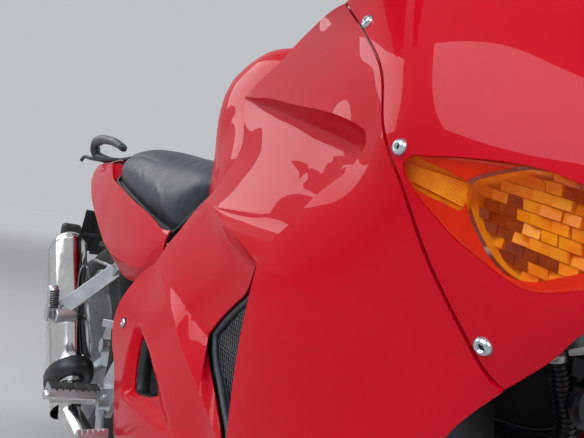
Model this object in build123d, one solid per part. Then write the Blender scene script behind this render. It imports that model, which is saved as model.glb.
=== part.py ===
from build123d import *
import math
import os

# Sport touring motorcycle, in millimetres. X points forward, Y to the rider's left, Z up.
# The origin is on the floor, midway along the length, in the plane of the wheels.

# Driving sizes of the whole machine
WHEELBASE = 1440.0
FRONT_AXLE_X = 747.5
FRONT_TYRE_R = 300.0
FRONT_TYRE_HALF = 60.0
REAR_TYRE_R = 315.0
REAR_TYRE_HALF = 90.0
REAR_LIFT = 12.0
RIM_R = 218.0
RIM_LIP = 8.0
RAKE_DEG = 25.5
TRAIL = 100.0
TAIL_END_X = -1047.5
RUN_FIT = 0.05
WALL = 4.0

# Points that follow from them
FRONT_AXLE_Z = FRONT_TYRE_R
REAR_AXLE_X = FRONT_AXLE_X - WHEELBASE
REAR_AXLE_Z = REAR_TYRE_R + REAR_LIFT
RAKE = math.radians(RAKE_DEG)
STEER_DIR = Vector(-math.sin(RAKE), 0, math.cos(RAKE))
STEER_FRONT = Vector(math.cos(RAKE), 0, math.sin(RAKE))
STEER_GROUND_X = FRONT_AXLE_X + TRAIL

# The seat's and the tail's tables are drawn for a rear axle here, and follow where it really is
DRAWN_REAR_AXLE_X = -692.5
SEAT_FRONT_X = -100.0


def follow(x):
    """The place of a point that is drawn at x, stretched evenly behind the front of the seat."""
    if x >= SEAT_FRONT_X:
        return x
    stretch = (REAR_AXLE_X - SEAT_FRONT_X) / (DRAWN_REAR_AXLE_X - SEAT_FRONT_X)
    return SEAT_FRONT_X + (x - SEAT_FRONT_X) * stretch


def followed(rows):
    return [(follow(row[0]), *row[1:]) for row in rows]


# Front end
FORK_Y = 112.0
SLIDER_R = 26.0
STANCHION_R = 20.5
SLIDER_LENGTH = 350.0
FORK_LENGTH = 705.0
LOWER_YOKE_AT = 440.0
UPPER_YOKE_AT = 650.0
LOWER_YOKE_THICK = 30.0
UPPER_YOKE_THICK = 24.0
STEM_R = 17.0
HEAD_TUBE_R = 30.0
AXLE_R = 12.5
HUB_R = 36.0
HUB_HALF = 75.0
DISC_THICK = 5.0
FRONT_DISC_R = 148.0
CALIPER_GAP = 2.0
FRONT_CALIPER_WIDTH = 62.0
REAR_DISC_R = 128.0
BAR_R = 11.0
GRIP_R = 16.0
GRIP_RINGS = 7
GRIP_GROOVE = 2.5
BAR_END_Y = 360.0

# Rear end: the arm, the brake and the chain are on the left
PIVOT_X = -130.0
PIVOT_Z = 420.0
ARM_INNER_Y = 100.0
ARM_THICK = 42.0
ARM_RING_R = 70.0
REAR_HUB_R = 45.0
SPROCKET_R = 104.0
SPROCKET_THICK = 7.0
SPROCKET_Y = 148.0
DRIVE_SPROCKET_X = -95.0
DRIVE_SPROCKET_Z = 405.0
DRIVE_SPROCKET_R = 41.0
CHAIN_GAP = 1.5
CHAIN_DEPTH = 14.0
CHAIN_WIDTH = 14.0
REAR_DISC_Y = 90.0

# Stands
STAND_PIVOT_X = -250.0
STAND_PIVOT_Z = 215.0
STAND_PIN_R = 9.0
STAND_LEG_R = 13.0
STAND_LEG_Y = 122.0
STAND_FOOT_X = -218.0
STAND_FOOT_Y = 150.0
STAND_FOOT_THICK = 10.0
SIDE_PIVOT = Vector(-112, 176, 262)
SIDE_LEG = Vector(-250, 12, -30)
SIDE_LEG_R = 11.0
SIDE_DOWN = Vector(100, 130, -195)

# Exhaust
MUFFLER_FRONT = Vector(follow(-464), -179, 325)
MUFFLER_REAR = Vector(follow(-800), -171, 593)
MUFFLER_HALF_WIDTH = 51.0
MUFFLER_HALF_HEIGHT = 65.0
PIPE_R = 24.0

# Tank and its cap
TANK_TOP_Z = 1000.0
CAP_X = 70.0
CAP_R = 52.0
CAP_THICK = 9.0
CAP_SIDE_GAP = 6.0
CAP_BARREL_R = 3.0
CAP_BARREL_HALF = 8.0
BARREL_FIT = 0.3

# Side of the fairing: half widths of the body on upright planes.
# Columns: x, low z, low half width, middle z, middle half width, top z, top half width
SIDE_ROWS = [
    (-200, 240, 160, 530, 197, 730, 156),
    (-50, 235, 168, 545, 206, 780, 162),
    (110, 230, 165, 590, 208, 945, 168),
    (200, 228, 160, 620, 218, 955, 196),
    (310, 228, 150, 680, 250, 962, 218),
    (430, 240, 140, 750, 263, 966, 234),
    (570, 260, 135, 750, 250, 966, 214),
]
# Outline of the side panel seen from the side, forward edge first. Columns: x, z
SIDE_OUTLINE = [
    (356, 940), (388, 904), (422, 861), (434, 839), (439, 813), (453, 783),
    (471, 754), (493, 720), (512, 696), (531, 675), (539, 664), (527, 646),
    (506, 622), (468, 556), (428, 478), (402, 400), (384, 300), (230, 268),
    (0, 262), (-85, 300), (-97, 345), (-118, 416), (-133, 463), (-151, 496),
    (-168, 532), (-182, 556), (-172, 580), (-145, 610), (-100, 655), (-35, 711),
    (26, 768), (55, 786), (77, 808), (98, 830), (107, 851), (100, 879), (96, 916),
    (200, 917), (300, 934),
]
# The scoop above the cooling outlet: its rim from the side, and its floor from above
SCOOP_RIM = [
    (-60, 690), (92, 900), (250, 866), (345, 842), (404, 819), (418, 804),
    (396, 780), (344, 737), (307, 704), (215, 700), (96, 745),
]
SCOOP_PLAN = [(440, 262), (404, 222), (330, 192), (200, 176), (-80, 158), (-80, 420), (440, 420)]
# The tall cooling outlet and the slot behind it
VENT_OUTLINE = [
    (303, 696), (322, 690), (319, 655), (322, 610), (325, 560), (319, 515), (293, 500),
    (228, 528), (192, 560), (180, 590), (196, 622), (246, 664),
]
SLOT_OUTLINE = [(-55, 535), (-12, 530), (25, 512), (55, 494), (60, 474), (-40, 440), (-46, 480)]

# Upper cowl, the same columns as the side panel
NOSE_ROWS = [
    (340, 560, 190, 800, 255, 946, 222),
    (450, 560, 200, 800, 266, 956, 226),
    (550, 575, 190, 785, 253, 944, 205),
    (650, 640, 150, 785, 212, 912, 165),
    (740, 690, 105, 780, 150, 868, 112),
    (808, 715, 60, 775, 86, 826, 66),
]
NOSE_OUTLINE = [
    (360, 944), (391, 908), (425, 864), (437, 840), (442, 814), (456, 784),
    (474, 756), (496, 722), (515, 698), (534, 677), (545, 668), (574, 705),
    (630, 728), (700, 722), (800, 724), (806, 740), (806, 812), (740, 880),
    (640, 930), (540, 960), (352, 960),
]
COCKPIT_PLAN = [(300, 206), (470, 206), (560, 172), (650, 122), (690, 90)]
LENS_OUTLINE = [
    (470, 774), (476, 786), (540, 783), (600, 764), (640, 742), (630, 728),
    (590, 720), (548, 717), (520, 728), (484, 754),
]
LENS_DEPTH = 24.0
LAMP_HALF = 78.0
LAMP_OUTLINE = [(700, 730), (806, 730), (806, 812), (772, 846), (700, 880)]

# Tail cowl, the same columns again, and its outline
TAIL_ROWS = [
    (-100, 560, 140, 690, 152, 730, 150),
    (-280, 560, 146, 660, 164, 760, 154),
    (-480, 580, 130, 690, 156, 810, 146),
    (-700, 660, 100, 760, 134, 860, 116),
    (-950, 780, 60, 825, 92, 880, 78),
]
TAIL_OUTLINE = [
    (-128, 696), (-150, 672), (-246, 590), (-305, 580), (-460, 600), (-680, 690),
    (-839, 775), (-925, 808), (-938, 850), (-900, 868), (-660, 862), (-600, 812),
    (-545, 797), (-281, 728), (-150, 700),
]

# Seat sections. Columns: x, bottom z, top z, half width
SEAT_ROWS = [
    (-42, 778, 823, 108),
    (-130, 706, 838, 138),
    (-290, 736, 866, 146),
    (-450, 778, 886, 142),
    (-600, 822, 872, 116),
]
# Tank sections. Columns: x, bottom z, bottom half width, middle z, half width, top z, top half width
TANK_ROWS = [
    (-88, 770, 92, 822, 110, 880, 70),
    (-30, 745, 120, 860, 132, 968, 78),
    (60, 730, 130, 900, 149, 1000, 86),
    (180, 740, 130, 900, 148, 996, 84),
    (290, 800, 108, 880, 124, 962, 70),
]
# Belly pan, the same columns as the side panel
BELLY_ROWS = [
    (-60, 176, 96, 220, 148, 252, 160),
    (140, 150, 86, 206, 144, 252, 158),
    (370, 196, 70, 240, 118, 286, 136),
]


def on_x(x):
    return Plane(origin=(x, 0, 0), x_dir=(0, 1, 0), z_dir=(1, 0, 0))


def crowned(rows, inset=0.0, open_low=0.0, open_top=0.0):
    """A body through upright sections whose two sides are arcs."""
    faces = []
    for x, low_z, low_w, mid_z, mid_w, top_z, top_w in rows:
        low = low_z + inset - open_low
        top = top_z - inset + open_top
        wl, wm, wt = low_w - inset, mid_w - inset, top_w - inset
        edges = Line((-wl, low), (wl, low))
        edges += ThreePointArc((wl, low), (wm, mid_z), (wt, top))
        edges += Line((wt, top), (-wt, top))
        edges += ThreePointArc((-wt, top), (-wm, mid_z), (-wl, low))
        faces.append(on_x(x) * make_face(edges))
    return loft(faces)


def side_prism(points, y_from, y_to):
    """An outline seen from the side, given depth from one y to another."""
    face = Plane(origin=(0, y_from, 0), x_dir=(1, 0, 0), z_dir=(0, -1, 0)) * make_face(
        Polyline(*points, close=True)
    )
    return extrude(face, amount=y_to - y_from, dir=(0, 1, 0))


def plan_prism(points, z_from, z_to):
    face = Plane.XY.offset(z_from) * make_face(Polyline(*points, close=True))
    return extrude(face, amount=z_to - z_from)


def rod(start, end, radius):
    start, end = Vector(start), Vector(end)
    span = end - start
    plane = Plane(origin=start, z_dir=span)
    return plane * Cylinder(radius, span.length, align=(Align.CENTER, Align.CENTER, Align.MIN))


def pipe(points, bend, radius):
    path = FilletPolyline(*points, radius=bend)
    start = Plane(origin=path @ 0, z_dir=path % 0)
    return sweep(start * Circle(radius), path=path)


def block(x, y, z, dx, dy, dz):
    return Pos(x, y, z) * Box(dx, dy, dz)


def turned(profile_points, x, z):
    """A ring or drum about the wheel axis: profile in (radius, y)."""
    face = make_face(Polyline(*profile_points, close=True))
    return Pos(x, 0, z) * revolve(face, Axis.Y)


def drum(x, z, radius, y_from, y_to):
    return rod((x, y_from, z), (x, y_to, z), radius)


def both_sides(piece):
    """The piece and its mirror image across the plane of the wheels, as two solids."""
    return Compound(children=[Compound(piece.solids()), Compound(mirror(piece, Plane.XZ).solids())])


parts = {}

# Wheels
FRONT_AT = (FRONT_AXLE_X, FRONT_AXLE_Z)
REAR_AT = (REAR_AXLE_X, REAR_AXLE_Z)


def tyre(radius, half, bead, shoulder_drop, x, z):
    lip = RIM_R + RIM_LIP
    shoulder = radius - shoulder_drop
    edges = Line((RIM_R, -bead), (lip, -bead))
    edges += ThreePointArc((lip, -bead), ((lip + shoulder) / 2, -half), (shoulder, -half + 3))
    edges += ThreePointArc((shoulder, -half + 3), (radius, 0), (shoulder, half - 3))
    edges += ThreePointArc((shoulder, half - 3), ((lip + shoulder) / 2, half), (lip, bead))
    edges += Line((lip, bead), (RIM_R, bead))
    edges += Line((RIM_R, bead), (RIM_R, -bead))
    return Pos(x, 0, z) * revolve(make_face(edges), Axis.Y)


def rim(bead, hub_radius, hub_from, hub_to, bore, spokes, x, z):
    lip = RIM_R + RIM_LIP
    edge = bead + 5
    barrel = turned(
        [
            (lip, -edge), (lip, -bead), (RIM_R, -bead), (RIM_R, bead), (lip, bead), (lip, edge),
            (RIM_R - 6, edge), (RIM_R - 13, bead - 16), (RIM_R - 13, 16 - bead), (RIM_R - 6, -edge),
        ],
        0,
        0,
    )
    wheel = barrel + drum(0, 0, hub_radius, hub_from, hub_to)
    mid = (hub_from + hub_to) / 2
    inner = Plane(origin=(hub_radius - 8, mid, 0), x_dir=(0, 1, 0), z_dir=(1, 0, 0))
    outer = Plane(origin=(RIM_R - 10, 0, 0), x_dir=(0, 1, 0), z_dir=(1, 0, 0))
    spoke = loft([inner * RectangleRounded(34, 46, 10), outer * RectangleRounded(30, 26, 8)])
    for i in range(spokes):
        wheel += Rot(0, i * 360 / spokes, 0) * spoke
    wheel -= drum(0, 0, bore, -200, 200)
    return Pos(x, 0, z) * wheel


FRONT_BEAD = 45.0
REAR_BEAD = 70.0
parts["front_tyre"] = tyre(FRONT_TYRE_R, FRONT_TYRE_HALF, FRONT_BEAD, 30, *FRONT_AT)
parts["front_rim"] = rim(FRONT_BEAD, HUB_R, -HUB_HALF, HUB_HALF, AXLE_R + RUN_FIT, 6, *FRONT_AT)
parts["rear_tyre"] = tyre(REAR_TYRE_R, REAR_TYRE_HALF, REAR_BEAD, 48, *REAR_AT)
parts["rear_rim"] = rim(REAR_BEAD, 62, -30, 84, AXLE_R + 8, 5, *REAR_AT)


def brake_disc(radius, band, bore, y, thick, x, z):
    disc = drum(0, 0, radius, y, y + thick) - drum(0, 0, bore, y - 1, y + thick + 1)
    mid = (radius - band + bore) / 2
    window = min((radius - band - bore) / 2 - 7, mid * math.sin(math.pi / 6) - 6)
    for i in range(6):
        angle = math.radians(60 * i + 30)
        disc -= drum(mid * math.cos(angle), mid * math.sin(angle), window, y - 1, y + thick + 1)
    return Pos(x, 0, z) * disc


right_disc = brake_disc(FRONT_DISC_R, 36, 20, -HUB_HALF - DISC_THICK, DISC_THICK, *FRONT_AT)
parts["front_discs"] = both_sides(right_disc)

# Rear hub: disc, carrier through the arm's ring, and the chain wheel outside
hub_shaft = drum(*REAR_AT, REAR_HUB_R, 84, SPROCKET_Y)
hub_disc = brake_disc(REAR_DISC_R, 34, 40, REAR_DISC_Y, DISC_THICK, *REAR_AT)
sprocket = drum(*REAR_AT, SPROCKET_R, SPROCKET_Y, SPROCKET_Y + SPROCKET_THICK)
for i in range(5):
    angle = math.radians(72 * i)
    sprocket -= drum(
        REAR_AXLE_X + 72 * math.cos(angle),
        REAR_AXLE_Z + 72 * math.sin(angle),
        17,
        SPROCKET_Y - 1,
        SPROCKET_Y + SPROCKET_THICK + 1,
    )
parts["rear_hub"] = hub_shaft + hub_disc + sprocket + drum(*REAR_AT, AXLE_R + 8, -50, 84)

# Front axle, fork legs and yokes
axle_end = FORK_Y + SLIDER_R + 4
parts["front_axle"] = drum(*FRONT_AT, AXLE_R, -axle_end, axle_end)
FORK_OFFSET = (STEER_GROUND_X - FRONT_AXLE_X) * math.cos(RAKE) - FRONT_AXLE_Z * math.sin(RAKE)
# The axle is ahead of the steering axis by this much, square to it
AXLE_AHEAD = abs(FORK_OFFSET)


def fork_point(along, y=0.0, ahead=0.0):
    axle = Vector(FRONT_AXLE_X, y, FRONT_AXLE_Z)
    return axle + STEER_DIR * along + STEER_FRONT * ahead


def fork_leg(y):
    slider = rod(fork_point(-14, y), fork_point(SLIDER_LENGTH, y), SLIDER_R)
    cap = rod(fork_point(SLIDER_LENGTH, y), fork_point(SLIDER_LENGTH + 16, y), SLIDER_R - 2)
    tube = rod(fork_point(SLIDER_LENGTH, y), fork_point(FORK_LENGTH, y), STANCHION_R)
    boss = drum(*FRONT_AT, 25, y - SLIDER_R + 1, y + SLIDER_R - 1)
    leg = slider + cap + tube + boss
    return leg - drum(*FRONT_AT, AXLE_R, y - 60, y + 60)


parts["fork_legs"] = both_sides(fork_leg(-FORK_Y))


def yoke(along, thick, reach):
    centre = fork_point(along, 0, -AXLE_AHEAD)
    plane = Plane(origin=centre, x_dir=STEER_FRONT, z_dir=STEER_DIR)
    outline = make_hull(
        (
            Pos(AXLE_AHEAD, FORK_Y) * Circle(reach)
            + Pos(AXLE_AHEAD, -FORK_Y) * Circle(reach)
            + Circle(reach)
        ).edges()
    )
    plate = plane * extrude(outline, amount=thick)
    for y in (-FORK_Y, FORK_Y):
        plate -= rod(fork_point(0, y), fork_point(FORK_LENGTH + 60, y), STANCHION_R)
    return plate


head_low = fork_point(LOWER_YOKE_AT + LOWER_YOKE_THICK, 0, -AXLE_AHEAD)
head_high = fork_point(UPPER_YOKE_AT, 0, -AXLE_AHEAD)
stem = rod(
    fork_point(LOWER_YOKE_AT, 0, -AXLE_AHEAD),
    fork_point(UPPER_YOKE_AT + UPPER_YOKE_THICK + 12, 0, -AXLE_AHEAD),
    STEM_R,
)
parts["steering_stem"] = (
    yoke(LOWER_YOKE_AT, LOWER_YOKE_THICK, 34) + yoke(UPPER_YOKE_AT, UPPER_YOKE_THICK, 31) + stem
)

# Handlebars: a clamp on the fork tube, a raised arm, the bar with its grip, and a lever
BAR_POINTS = [(424, -150, 976), (402, -186, 1008), (306, -BAR_END_Y + 14, 994)]


def handlebar():
    clamp_low = fork_point(UPPER_YOKE_AT + UPPER_YOKE_THICK, -FORK_Y)
    clamp_high = fork_point(FORK_LENGTH, -FORK_Y)
    clamp = rod(clamp_low, clamp_high, 31)
    arm_foot = clamp_low + (clamp_high - clamp_low) * 0.5 + Vector(-4, -26, 4)
    arm = rod(arm_foot, BAR_POINTS[0], 11) + Pos(*BAR_POINTS[0]) * Sphere(13)
    bend = rod(BAR_POINTS[0], BAR_POINTS[1], BAR_R) + Pos(*BAR_POINTS[1]) * Sphere(BAR_R)
    start, end = Vector(BAR_POINTS[1]), Vector(BAR_POINTS[2])
    out = (end - start).normalized()
    bar = rod(start, end, BAR_R)
    grip = rod(start + out * 38, end - out * 4, GRIP_R)
    grip_length = (end - start).length - 42
    for i in range(GRIP_RINGS):
        ring_at = start + out * (38 + grip_length * (i + 1) / (GRIP_RINGS + 1))
        ring = rod(ring_at, ring_at + out * GRIP_GROOVE, GRIP_R + 1)
        grip -= ring - rod(ring_at, ring_at + out * GRIP_GROOVE, GRIP_R - GRIP_GROOVE)
    tip = rod(end - out * 3, end + out * 12, GRIP_R - 1)
    house = rod(start + out * 4, start + out * 38, 21)
    pivot = start + out * 22 + Vector(34, 0, -8)
    lever = rod(start + out * 22, pivot, 9) + Pos(*pivot) * Sphere(9)
    lever += rod(pivot, end + out * 2 + Vector(64, 0, -14), 6)
    whole = clamp + arm + bend + bar + grip + tip + house + lever
    return whole - rod(clamp_low, clamp_high, STANCHION_R)


parts["handlebars"] = both_sides(handlebar())

# Front fender: an arched band about the axle, with lugs to the fork legs
FENDER_GAP = 10.0
FENDER_THICK = 3.0
FENDER_HALF = FRONT_TYRE_HALF + 9


def arched(radius, half, skirt, thick):
    edges = Line((radius - skirt, -half), (radius - 26, -half))
    edges += ThreePointArc((radius - 26, -half), (radius, 0), (radius - 26, half))
    edges += Line((radius - 26, half), (radius - skirt, half))
    edges += Line((radius - skirt, half), (radius - skirt, half - thick))
    edges += Line((radius - skirt, half - thick), (radius - 26, half - thick))
    edges += ThreePointArc((radius - 26, half - thick), (radius - thick, 0), (radius - 26, thick - half))
    edges += Line((radius - 26, thick - half), (radius - skirt, thick - half))
    edges += Line((radius - skirt, thick - half), (radius - skirt, -half))
    return make_face(edges)


fender_r = FRONT_TYRE_R + FENDER_GAP + FENDER_THICK
fender = revolve(arched(fender_r, FENDER_HALF, 62, FENDER_THICK), Axis.Y, revolution_arc=118)
fender = Pos(FRONT_AXLE_X, 0, FRONT_AXLE_Z) * (Rot(0, -148, 0) * fender)
for side in (-1, 1):
    lug_inner = FENDER_HALF - FENDER_THICK
    lug_outer = FORK_Y - SLIDER_R + 1
    lug_at = fork_point(272, side * (lug_inner + lug_outer) / 2)
    lug = Plane(origin=lug_at, x_dir=STEER_FRONT, z_dir=STEER_DIR) * Box(
        26, lug_outer - lug_inner, 60
    )
    leg_space = rod(fork_point(0, side * FORK_Y), fork_point(400, side * FORK_Y), SLIDER_R)
    fender += lug - leg_space
parts["front_fender"] = fender


def caliper(y_disc, thick, disc_radius, x, z, angle_deg, reach, width):
    """A body that straddles the disc's rim at one angle."""
    angle = math.radians(angle_deg)
    mid = disc_radius - 14
    body = Pos(mid * math.cos(angle), y_disc + thick / 2, mid * math.sin(angle)) * (
        Rot(0, -angle_deg, 0) * Box(reach, width, 96)
    )
    body = fillet(body.edges().filter_by(Axis.Y), 10)
    slot = drum(0, 0, disc_radius + CALIPER_GAP, y_disc - CALIPER_GAP, y_disc + thick + CALIPER_GAP)
    return Pos(x, 0, z) * (body - slot)


front_caliper = caliper(
    -HUB_HALF - DISC_THICK, DISC_THICK, FRONT_DISC_R, *FRONT_AT, 150, 54, FRONT_CALIPER_WIDTH
)
# Its bracket runs from the caliper's outer side to the middle of the fork leg
bracket_inner_y = HUB_HALF + DISC_THICK / 2 + FRONT_CALIPER_WIDTH / 2 - 8.5
bracket_width = FORK_Y - bracket_inner_y
front_caliper += Pos(FRONT_AXLE_X, 0, FRONT_AXLE_Z) * (
    Rot(0, -150 + 22, 0) * block(118, -bracket_inner_y - bracket_width / 2, 0, 90, bracket_width, 34)
)
front_caliper -= rod(fork_point(-30, -FORK_Y), fork_point(SLIDER_LENGTH, -FORK_Y), SLIDER_R)
front_caliper -= drum(*FRONT_AT, FRONT_DISC_R + CALIPER_GAP, -HUB_HALF - DISC_THICK - CALIPER_GAP,
                      -HUB_HALF + CALIPER_GAP)
parts["front_calipers"] = both_sides(front_caliper.solids().sort_by(SortBy.VOLUME)[-1])

# Frame: steering head and two beams
beam_rows = [
    # x, y, z, width, height
    (430, 34, 800, 40, 110),
    (300, 116, 765, 34, 96),
    (80, 130, 700, 34, 92),
    (-90, 128, 640, 36, 110),
]
beam = loft(
    [
        Plane(origin=(x, -y, z), x_dir=(0, 1, 0), z_dir=(1, 0, 0)) * RectangleRounded(w, h, 9)
        for x, y, z, w, h in beam_rows
    ],
    ruled=True,
)
head = rod(head_low + STEER_DIR * 0.3, head_high - STEER_DIR * 0.3, HEAD_TUBE_R)
brace = block(-75, 0, 632, 46, 240, 56)
gusset = block(398, 0, 796, 46, 60, 96)
frame_solid = beam + mirror(beam, Plane.XZ) + brace + gusset + head
frame_solid -= rod(head_low - STEER_DIR * 30, head_high + STEER_DIR * 30, STEM_R + RUN_FIT)
for along in (LOWER_YOKE_AT, UPPER_YOKE_AT):
    thick = LOWER_YOKE_THICK if along == LOWER_YOKE_AT else 60
    frame_solid -= rod(
        fork_point(along - 30 if along == LOWER_YOKE_AT else along - 0.3, 0, -AXLE_AHEAD),
        fork_point(along + thick + (0.3 if along == LOWER_YOKE_AT else 0), 0, -AXLE_AHEAD),
        170,
    )
parts["frame"] = frame_solid

# Engine: one plain block with its two round covers
ENGINE_HALF = 150.0
SUMP_HALF = 100.0
engine = side_prism(
    [(-60, 330), (-70, 560), (20, 640), (240, 668), (352, 620), (372, 500), (338, 296), (-40, 296)],
    -ENGINE_HALF,
    ENGINE_HALF,
)
engine = fillet(engine.edges().filter_by(Axis.Y), 16)
engine += side_prism([(-30, 310), (320, 310), (250, 222), (0, 222)], -SUMP_HALF, SUMP_HALF)
for side in (-1, 1):
    engine += drum(110, 390, 88, side * (ENGINE_HALF - 10), side * (ENGINE_HALF + 12))
pivot_lug = side_prism(
    [(-60, 350), (-60, 500), (-120, 470), (-168, 440), (-168, 400), (-120, 370)], -84, 84
)
engine += pivot_lug
engine -= frame_solid
# Room for the chain where it runs round the small sprocket
engine -= drum(DRIVE_SPROCKET_X, DRIVE_SPROCKET_Z, DRIVE_SPROCKET_R + CHAIN_DEPTH + 6, 138, 200)
engine = engine.solids().sort_by(SortBy.VOLUME)[-1]
parts["engine"] = engine

# Side radiators behind the cooling outlets
radiator = Pos(250, -176, 590) * (Rot(0, 0, 12) * Box(96, 34, 210))
radiator -= Pos(250, -196, 590) * (Rot(0, 0, 12) * Box(72, 8, 190))
for z in (530, 640):
    radiator += block(240, -152, z, 30, 30, 24)
radiator -= engine
parts["radiators"] = both_sides(radiator.solids().sort_by(SortBy.VOLUME)[-1])

# Fuel tank and its hinged cap
tank = crowned(TANK_ROWS)
tank = fillet(
    [e for e in tank.edges() if e.center().Z > 900 and abs(e.center().Y) > 50
     and -80 < e.center().X < 285],
    14,
)
cap_seat_z = TANK_TOP_Z - CAP_THICK - 2
tank -= rod((CAP_X, 0, cap_seat_z), (CAP_X, 0, TANK_TOP_Z + 40), CAP_R + CAP_SIDE_GAP)
tank -= mirror(frame_solid, Plane.XZ)
cap_low_z = cap_seat_z + BARREL_FIT
cap_top_z = cap_low_z + CAP_THICK
cap = rod((CAP_X, 0, cap_low_z), (CAP_X, 0, cap_top_z), CAP_R)
cap = fillet(cap.edges().group_by(Axis.Z)[-1], 3)

# The cap's hinge barrel lies in a pocket at the front of its seat
barrel_x = CAP_X + CAP_R + CAP_SIDE_GAP
barrel_z = TANK_TOP_Z - 2
barrel_fit_r = CAP_BARREL_R + BARREL_FIT
barrel_fit_half = CAP_BARREL_HALF + BARREL_FIT
tank -= rod((barrel_x, -barrel_fit_half, barrel_z), (barrel_x, barrel_fit_half, barrel_z), barrel_fit_r)
tank -= Pos(barrel_x, 0, barrel_z) * Box(
    2 * barrel_fit_r, 2 * barrel_fit_half, 12, align=(Align.CENTER, Align.CENTER, Align.MIN)
)
cap += rod((barrel_x, -CAP_BARREL_HALF, barrel_z), (barrel_x, CAP_BARREL_HALF, barrel_z), CAP_BARREL_R)
cap += Pos(barrel_x, 0, cap_top_z) * Box(
    CAP_SIDE_GAP + 4, 2 * CAP_BARREL_HALF - 4, CAP_BARREL_R, align=(Align.MAX, Align.CENTER, Align.MAX)
)
parts["fuel_tank"] = tank.solids().sort_by(SortBy.VOLUME)[-1]
parts["filler_cap"] = cap.solids().sort_by(SortBy.VOLUME)[-1]

# Seat
seat_faces = []
for x, low, top, half in followed(SEAT_ROWS):
    plane = Plane(origin=(x, 0, (low + top) / 2), x_dir=(0, 1, 0), z_dir=(1, 0, 0))
    seat_faces.append(plane * RectangleRounded(2 * half, top - low, 20))
seat = loft(seat_faces)
seat -= parts["fuel_tank"]
seat = seat.solids().sort_by(SortBy.VOLUME)[-1]
parts["seat"] = seat

# Tail cowl: an open-topped shell under the seat
tail_rows = followed(TAIL_ROWS)
tail = crowned(tail_rows) - crowned(tail_rows, WALL, 60, 0)
tail = tail & side_prism(followed(TAIL_OUTLINE), -220, 220)
tail -= seat
parts["tail_cowl"] = tail.solids().sort_by(SortBy.VOLUME)[-1]

# Rear subframe: two rails from the frame to the tail
rail = pipe(followed([(-98, -112, 650), (-260, -118, 672), (-480, -104, 730), (-820, -66, 812)]), 60, 12)
subframe = rail + mirror(rail, Plane.XZ)
for x, z, half in followed([(-300, 681, 116), (-700, 783, 80), (-806, 808, 68)]):
    subframe += rod((x, -half, z), (x, half, z), 9)
subframe -= parts["frame"]
parts["rear_subframe"] = subframe.solids().sort_by(SortBy.VOLUME)[-1]

# Grab rail: a plate behind the seat and a curved horn each side
RAIL_Z = 880.0
plate = plan_prism(followed([(-640, -96), (-800, -100), (-940, -84), (-960, -60), (-960, 60), (-940, 84),
                             (-800, 100), (-640, 96)]), RAIL_Z, RAIL_Z + 10)
plate -= plan_prism(followed([(-700, -42), (-900, -34), (-900, 34), (-700, 42)]), RAIL_Z - 5, RAIL_Z + 20)
RACK_HOLE_R = 4.25
RACK_X = (follow(-760.0), follow(-870.0))
RACK_Y = 62.0
for x in RACK_X:
    for y in (-RACK_Y, RACK_Y):
        plate -= rod((x, y, RAIL_Z - 5), (x, y, RAIL_Z + 20), RACK_HOLE_R)
horn = pipe(followed([(-800, -88, 890), (-800, -134, 896), (-730, -142, 928), (-620, -120, 900)]), 22, 11)
hook = pipe(followed([(-900, -84, 886), (-948, -126, 884), (-966, -128, 878)]), 10, 8)
plate += horn + hook + mirror(horn, Plane.XZ) + mirror(hook, Plane.XZ)
for x in (follow(-680), follow(-900)):
    for y in (-62, 62):
        plate += rod((x, y, 840), (x, y, RAIL_Z + 2), 9)
plate -= parts["tail_cowl"]
plate -= parts["seat"]
parts["grab_rail"] = plate.solids().sort_by(SortBy.VOLUME)[-1]

# Tail light
light = side_prism(followed([(-905, 816), (-912, 858), (-970, 848), (-966, 822)]), -97, 97)
light -= parts["tail_cowl"]
parts["tail_light"] = light.solids().sort_by(SortBy.VOLUME)[-1]

# Rear fender with the number plate holder and the rear turn signals on their stalks
fender_arm = side_prism(followed(
    [(-790, 804), (-930, 814), (-1010, 690), (TAIL_END_X, 560), (TAIL_END_X + 6, 556),
     (TAIL_END_X + 14, 560), (-990, 690), (-920, 790), (-790, 790)]), -48, 48)
PLATE_TILT = 14.0
plate_back = Pos(follow(-1022), 0, 640) * (Rot(0, PLATE_TILT, 0) * Box(4, 190, 150))
fender_arm += plate_back
SIGNAL_X = follow(-1008)
SIGNAL_Z = 628.0
SIGNAL_Y = 130.0
SIGNAL_SIZE = (44.0, 58.0, 46.0)
STALK_R = 7.0
fender_arm += rod((SIGNAL_X, -SIGNAL_Y, SIGNAL_Z), (SIGNAL_X, SIGNAL_Y, SIGNAL_Z), STALK_R)
for side in (-1, 1):
    body = Pos(SIGNAL_X, side * SIGNAL_Y, SIGNAL_Z + 5) * Box(*SIGNAL_SIZE)
    fender_arm += fillet(body.edges(), 12)
PLATE_HOLE_R = 3.2
for side in (-1, 1):
    fender_arm -= rod((follow(-1080), side * 70, 660), (follow(-960), side * 70, 660), PLATE_HOLE_R)
fender_arm -= parts["tail_cowl"]
fender_arm -= parts["tail_light"]
fender_arm -= parts["rear_subframe"]
parts["rear_fender"] = fender_arm.solids().sort_by(SortBy.VOLUME)[-1]

# Right side panel of the fairing
shell = crowned(SIDE_ROWS) - crowned(SIDE_ROWS, WALL, 40, 40)
right_shell = shell & side_prism(SIDE_OUTLINE, -400, -40)


def scoop_body(grow):
    rim_face = offset(make_face(Polyline(*SCOOP_RIM, close=True)), amount=grow)
    face = Plane(origin=(0, -420, 0), x_dir=(1, 0, 0), z_dir=(0, -1, 0)) * rim_face
    across = extrude(face, amount=400, dir=(0, 1, 0))
    plan = [(x, -(y - grow)) for x, y in SCOOP_PLAN]
    return across & plan_prism(plan, 600, 960)


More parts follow.
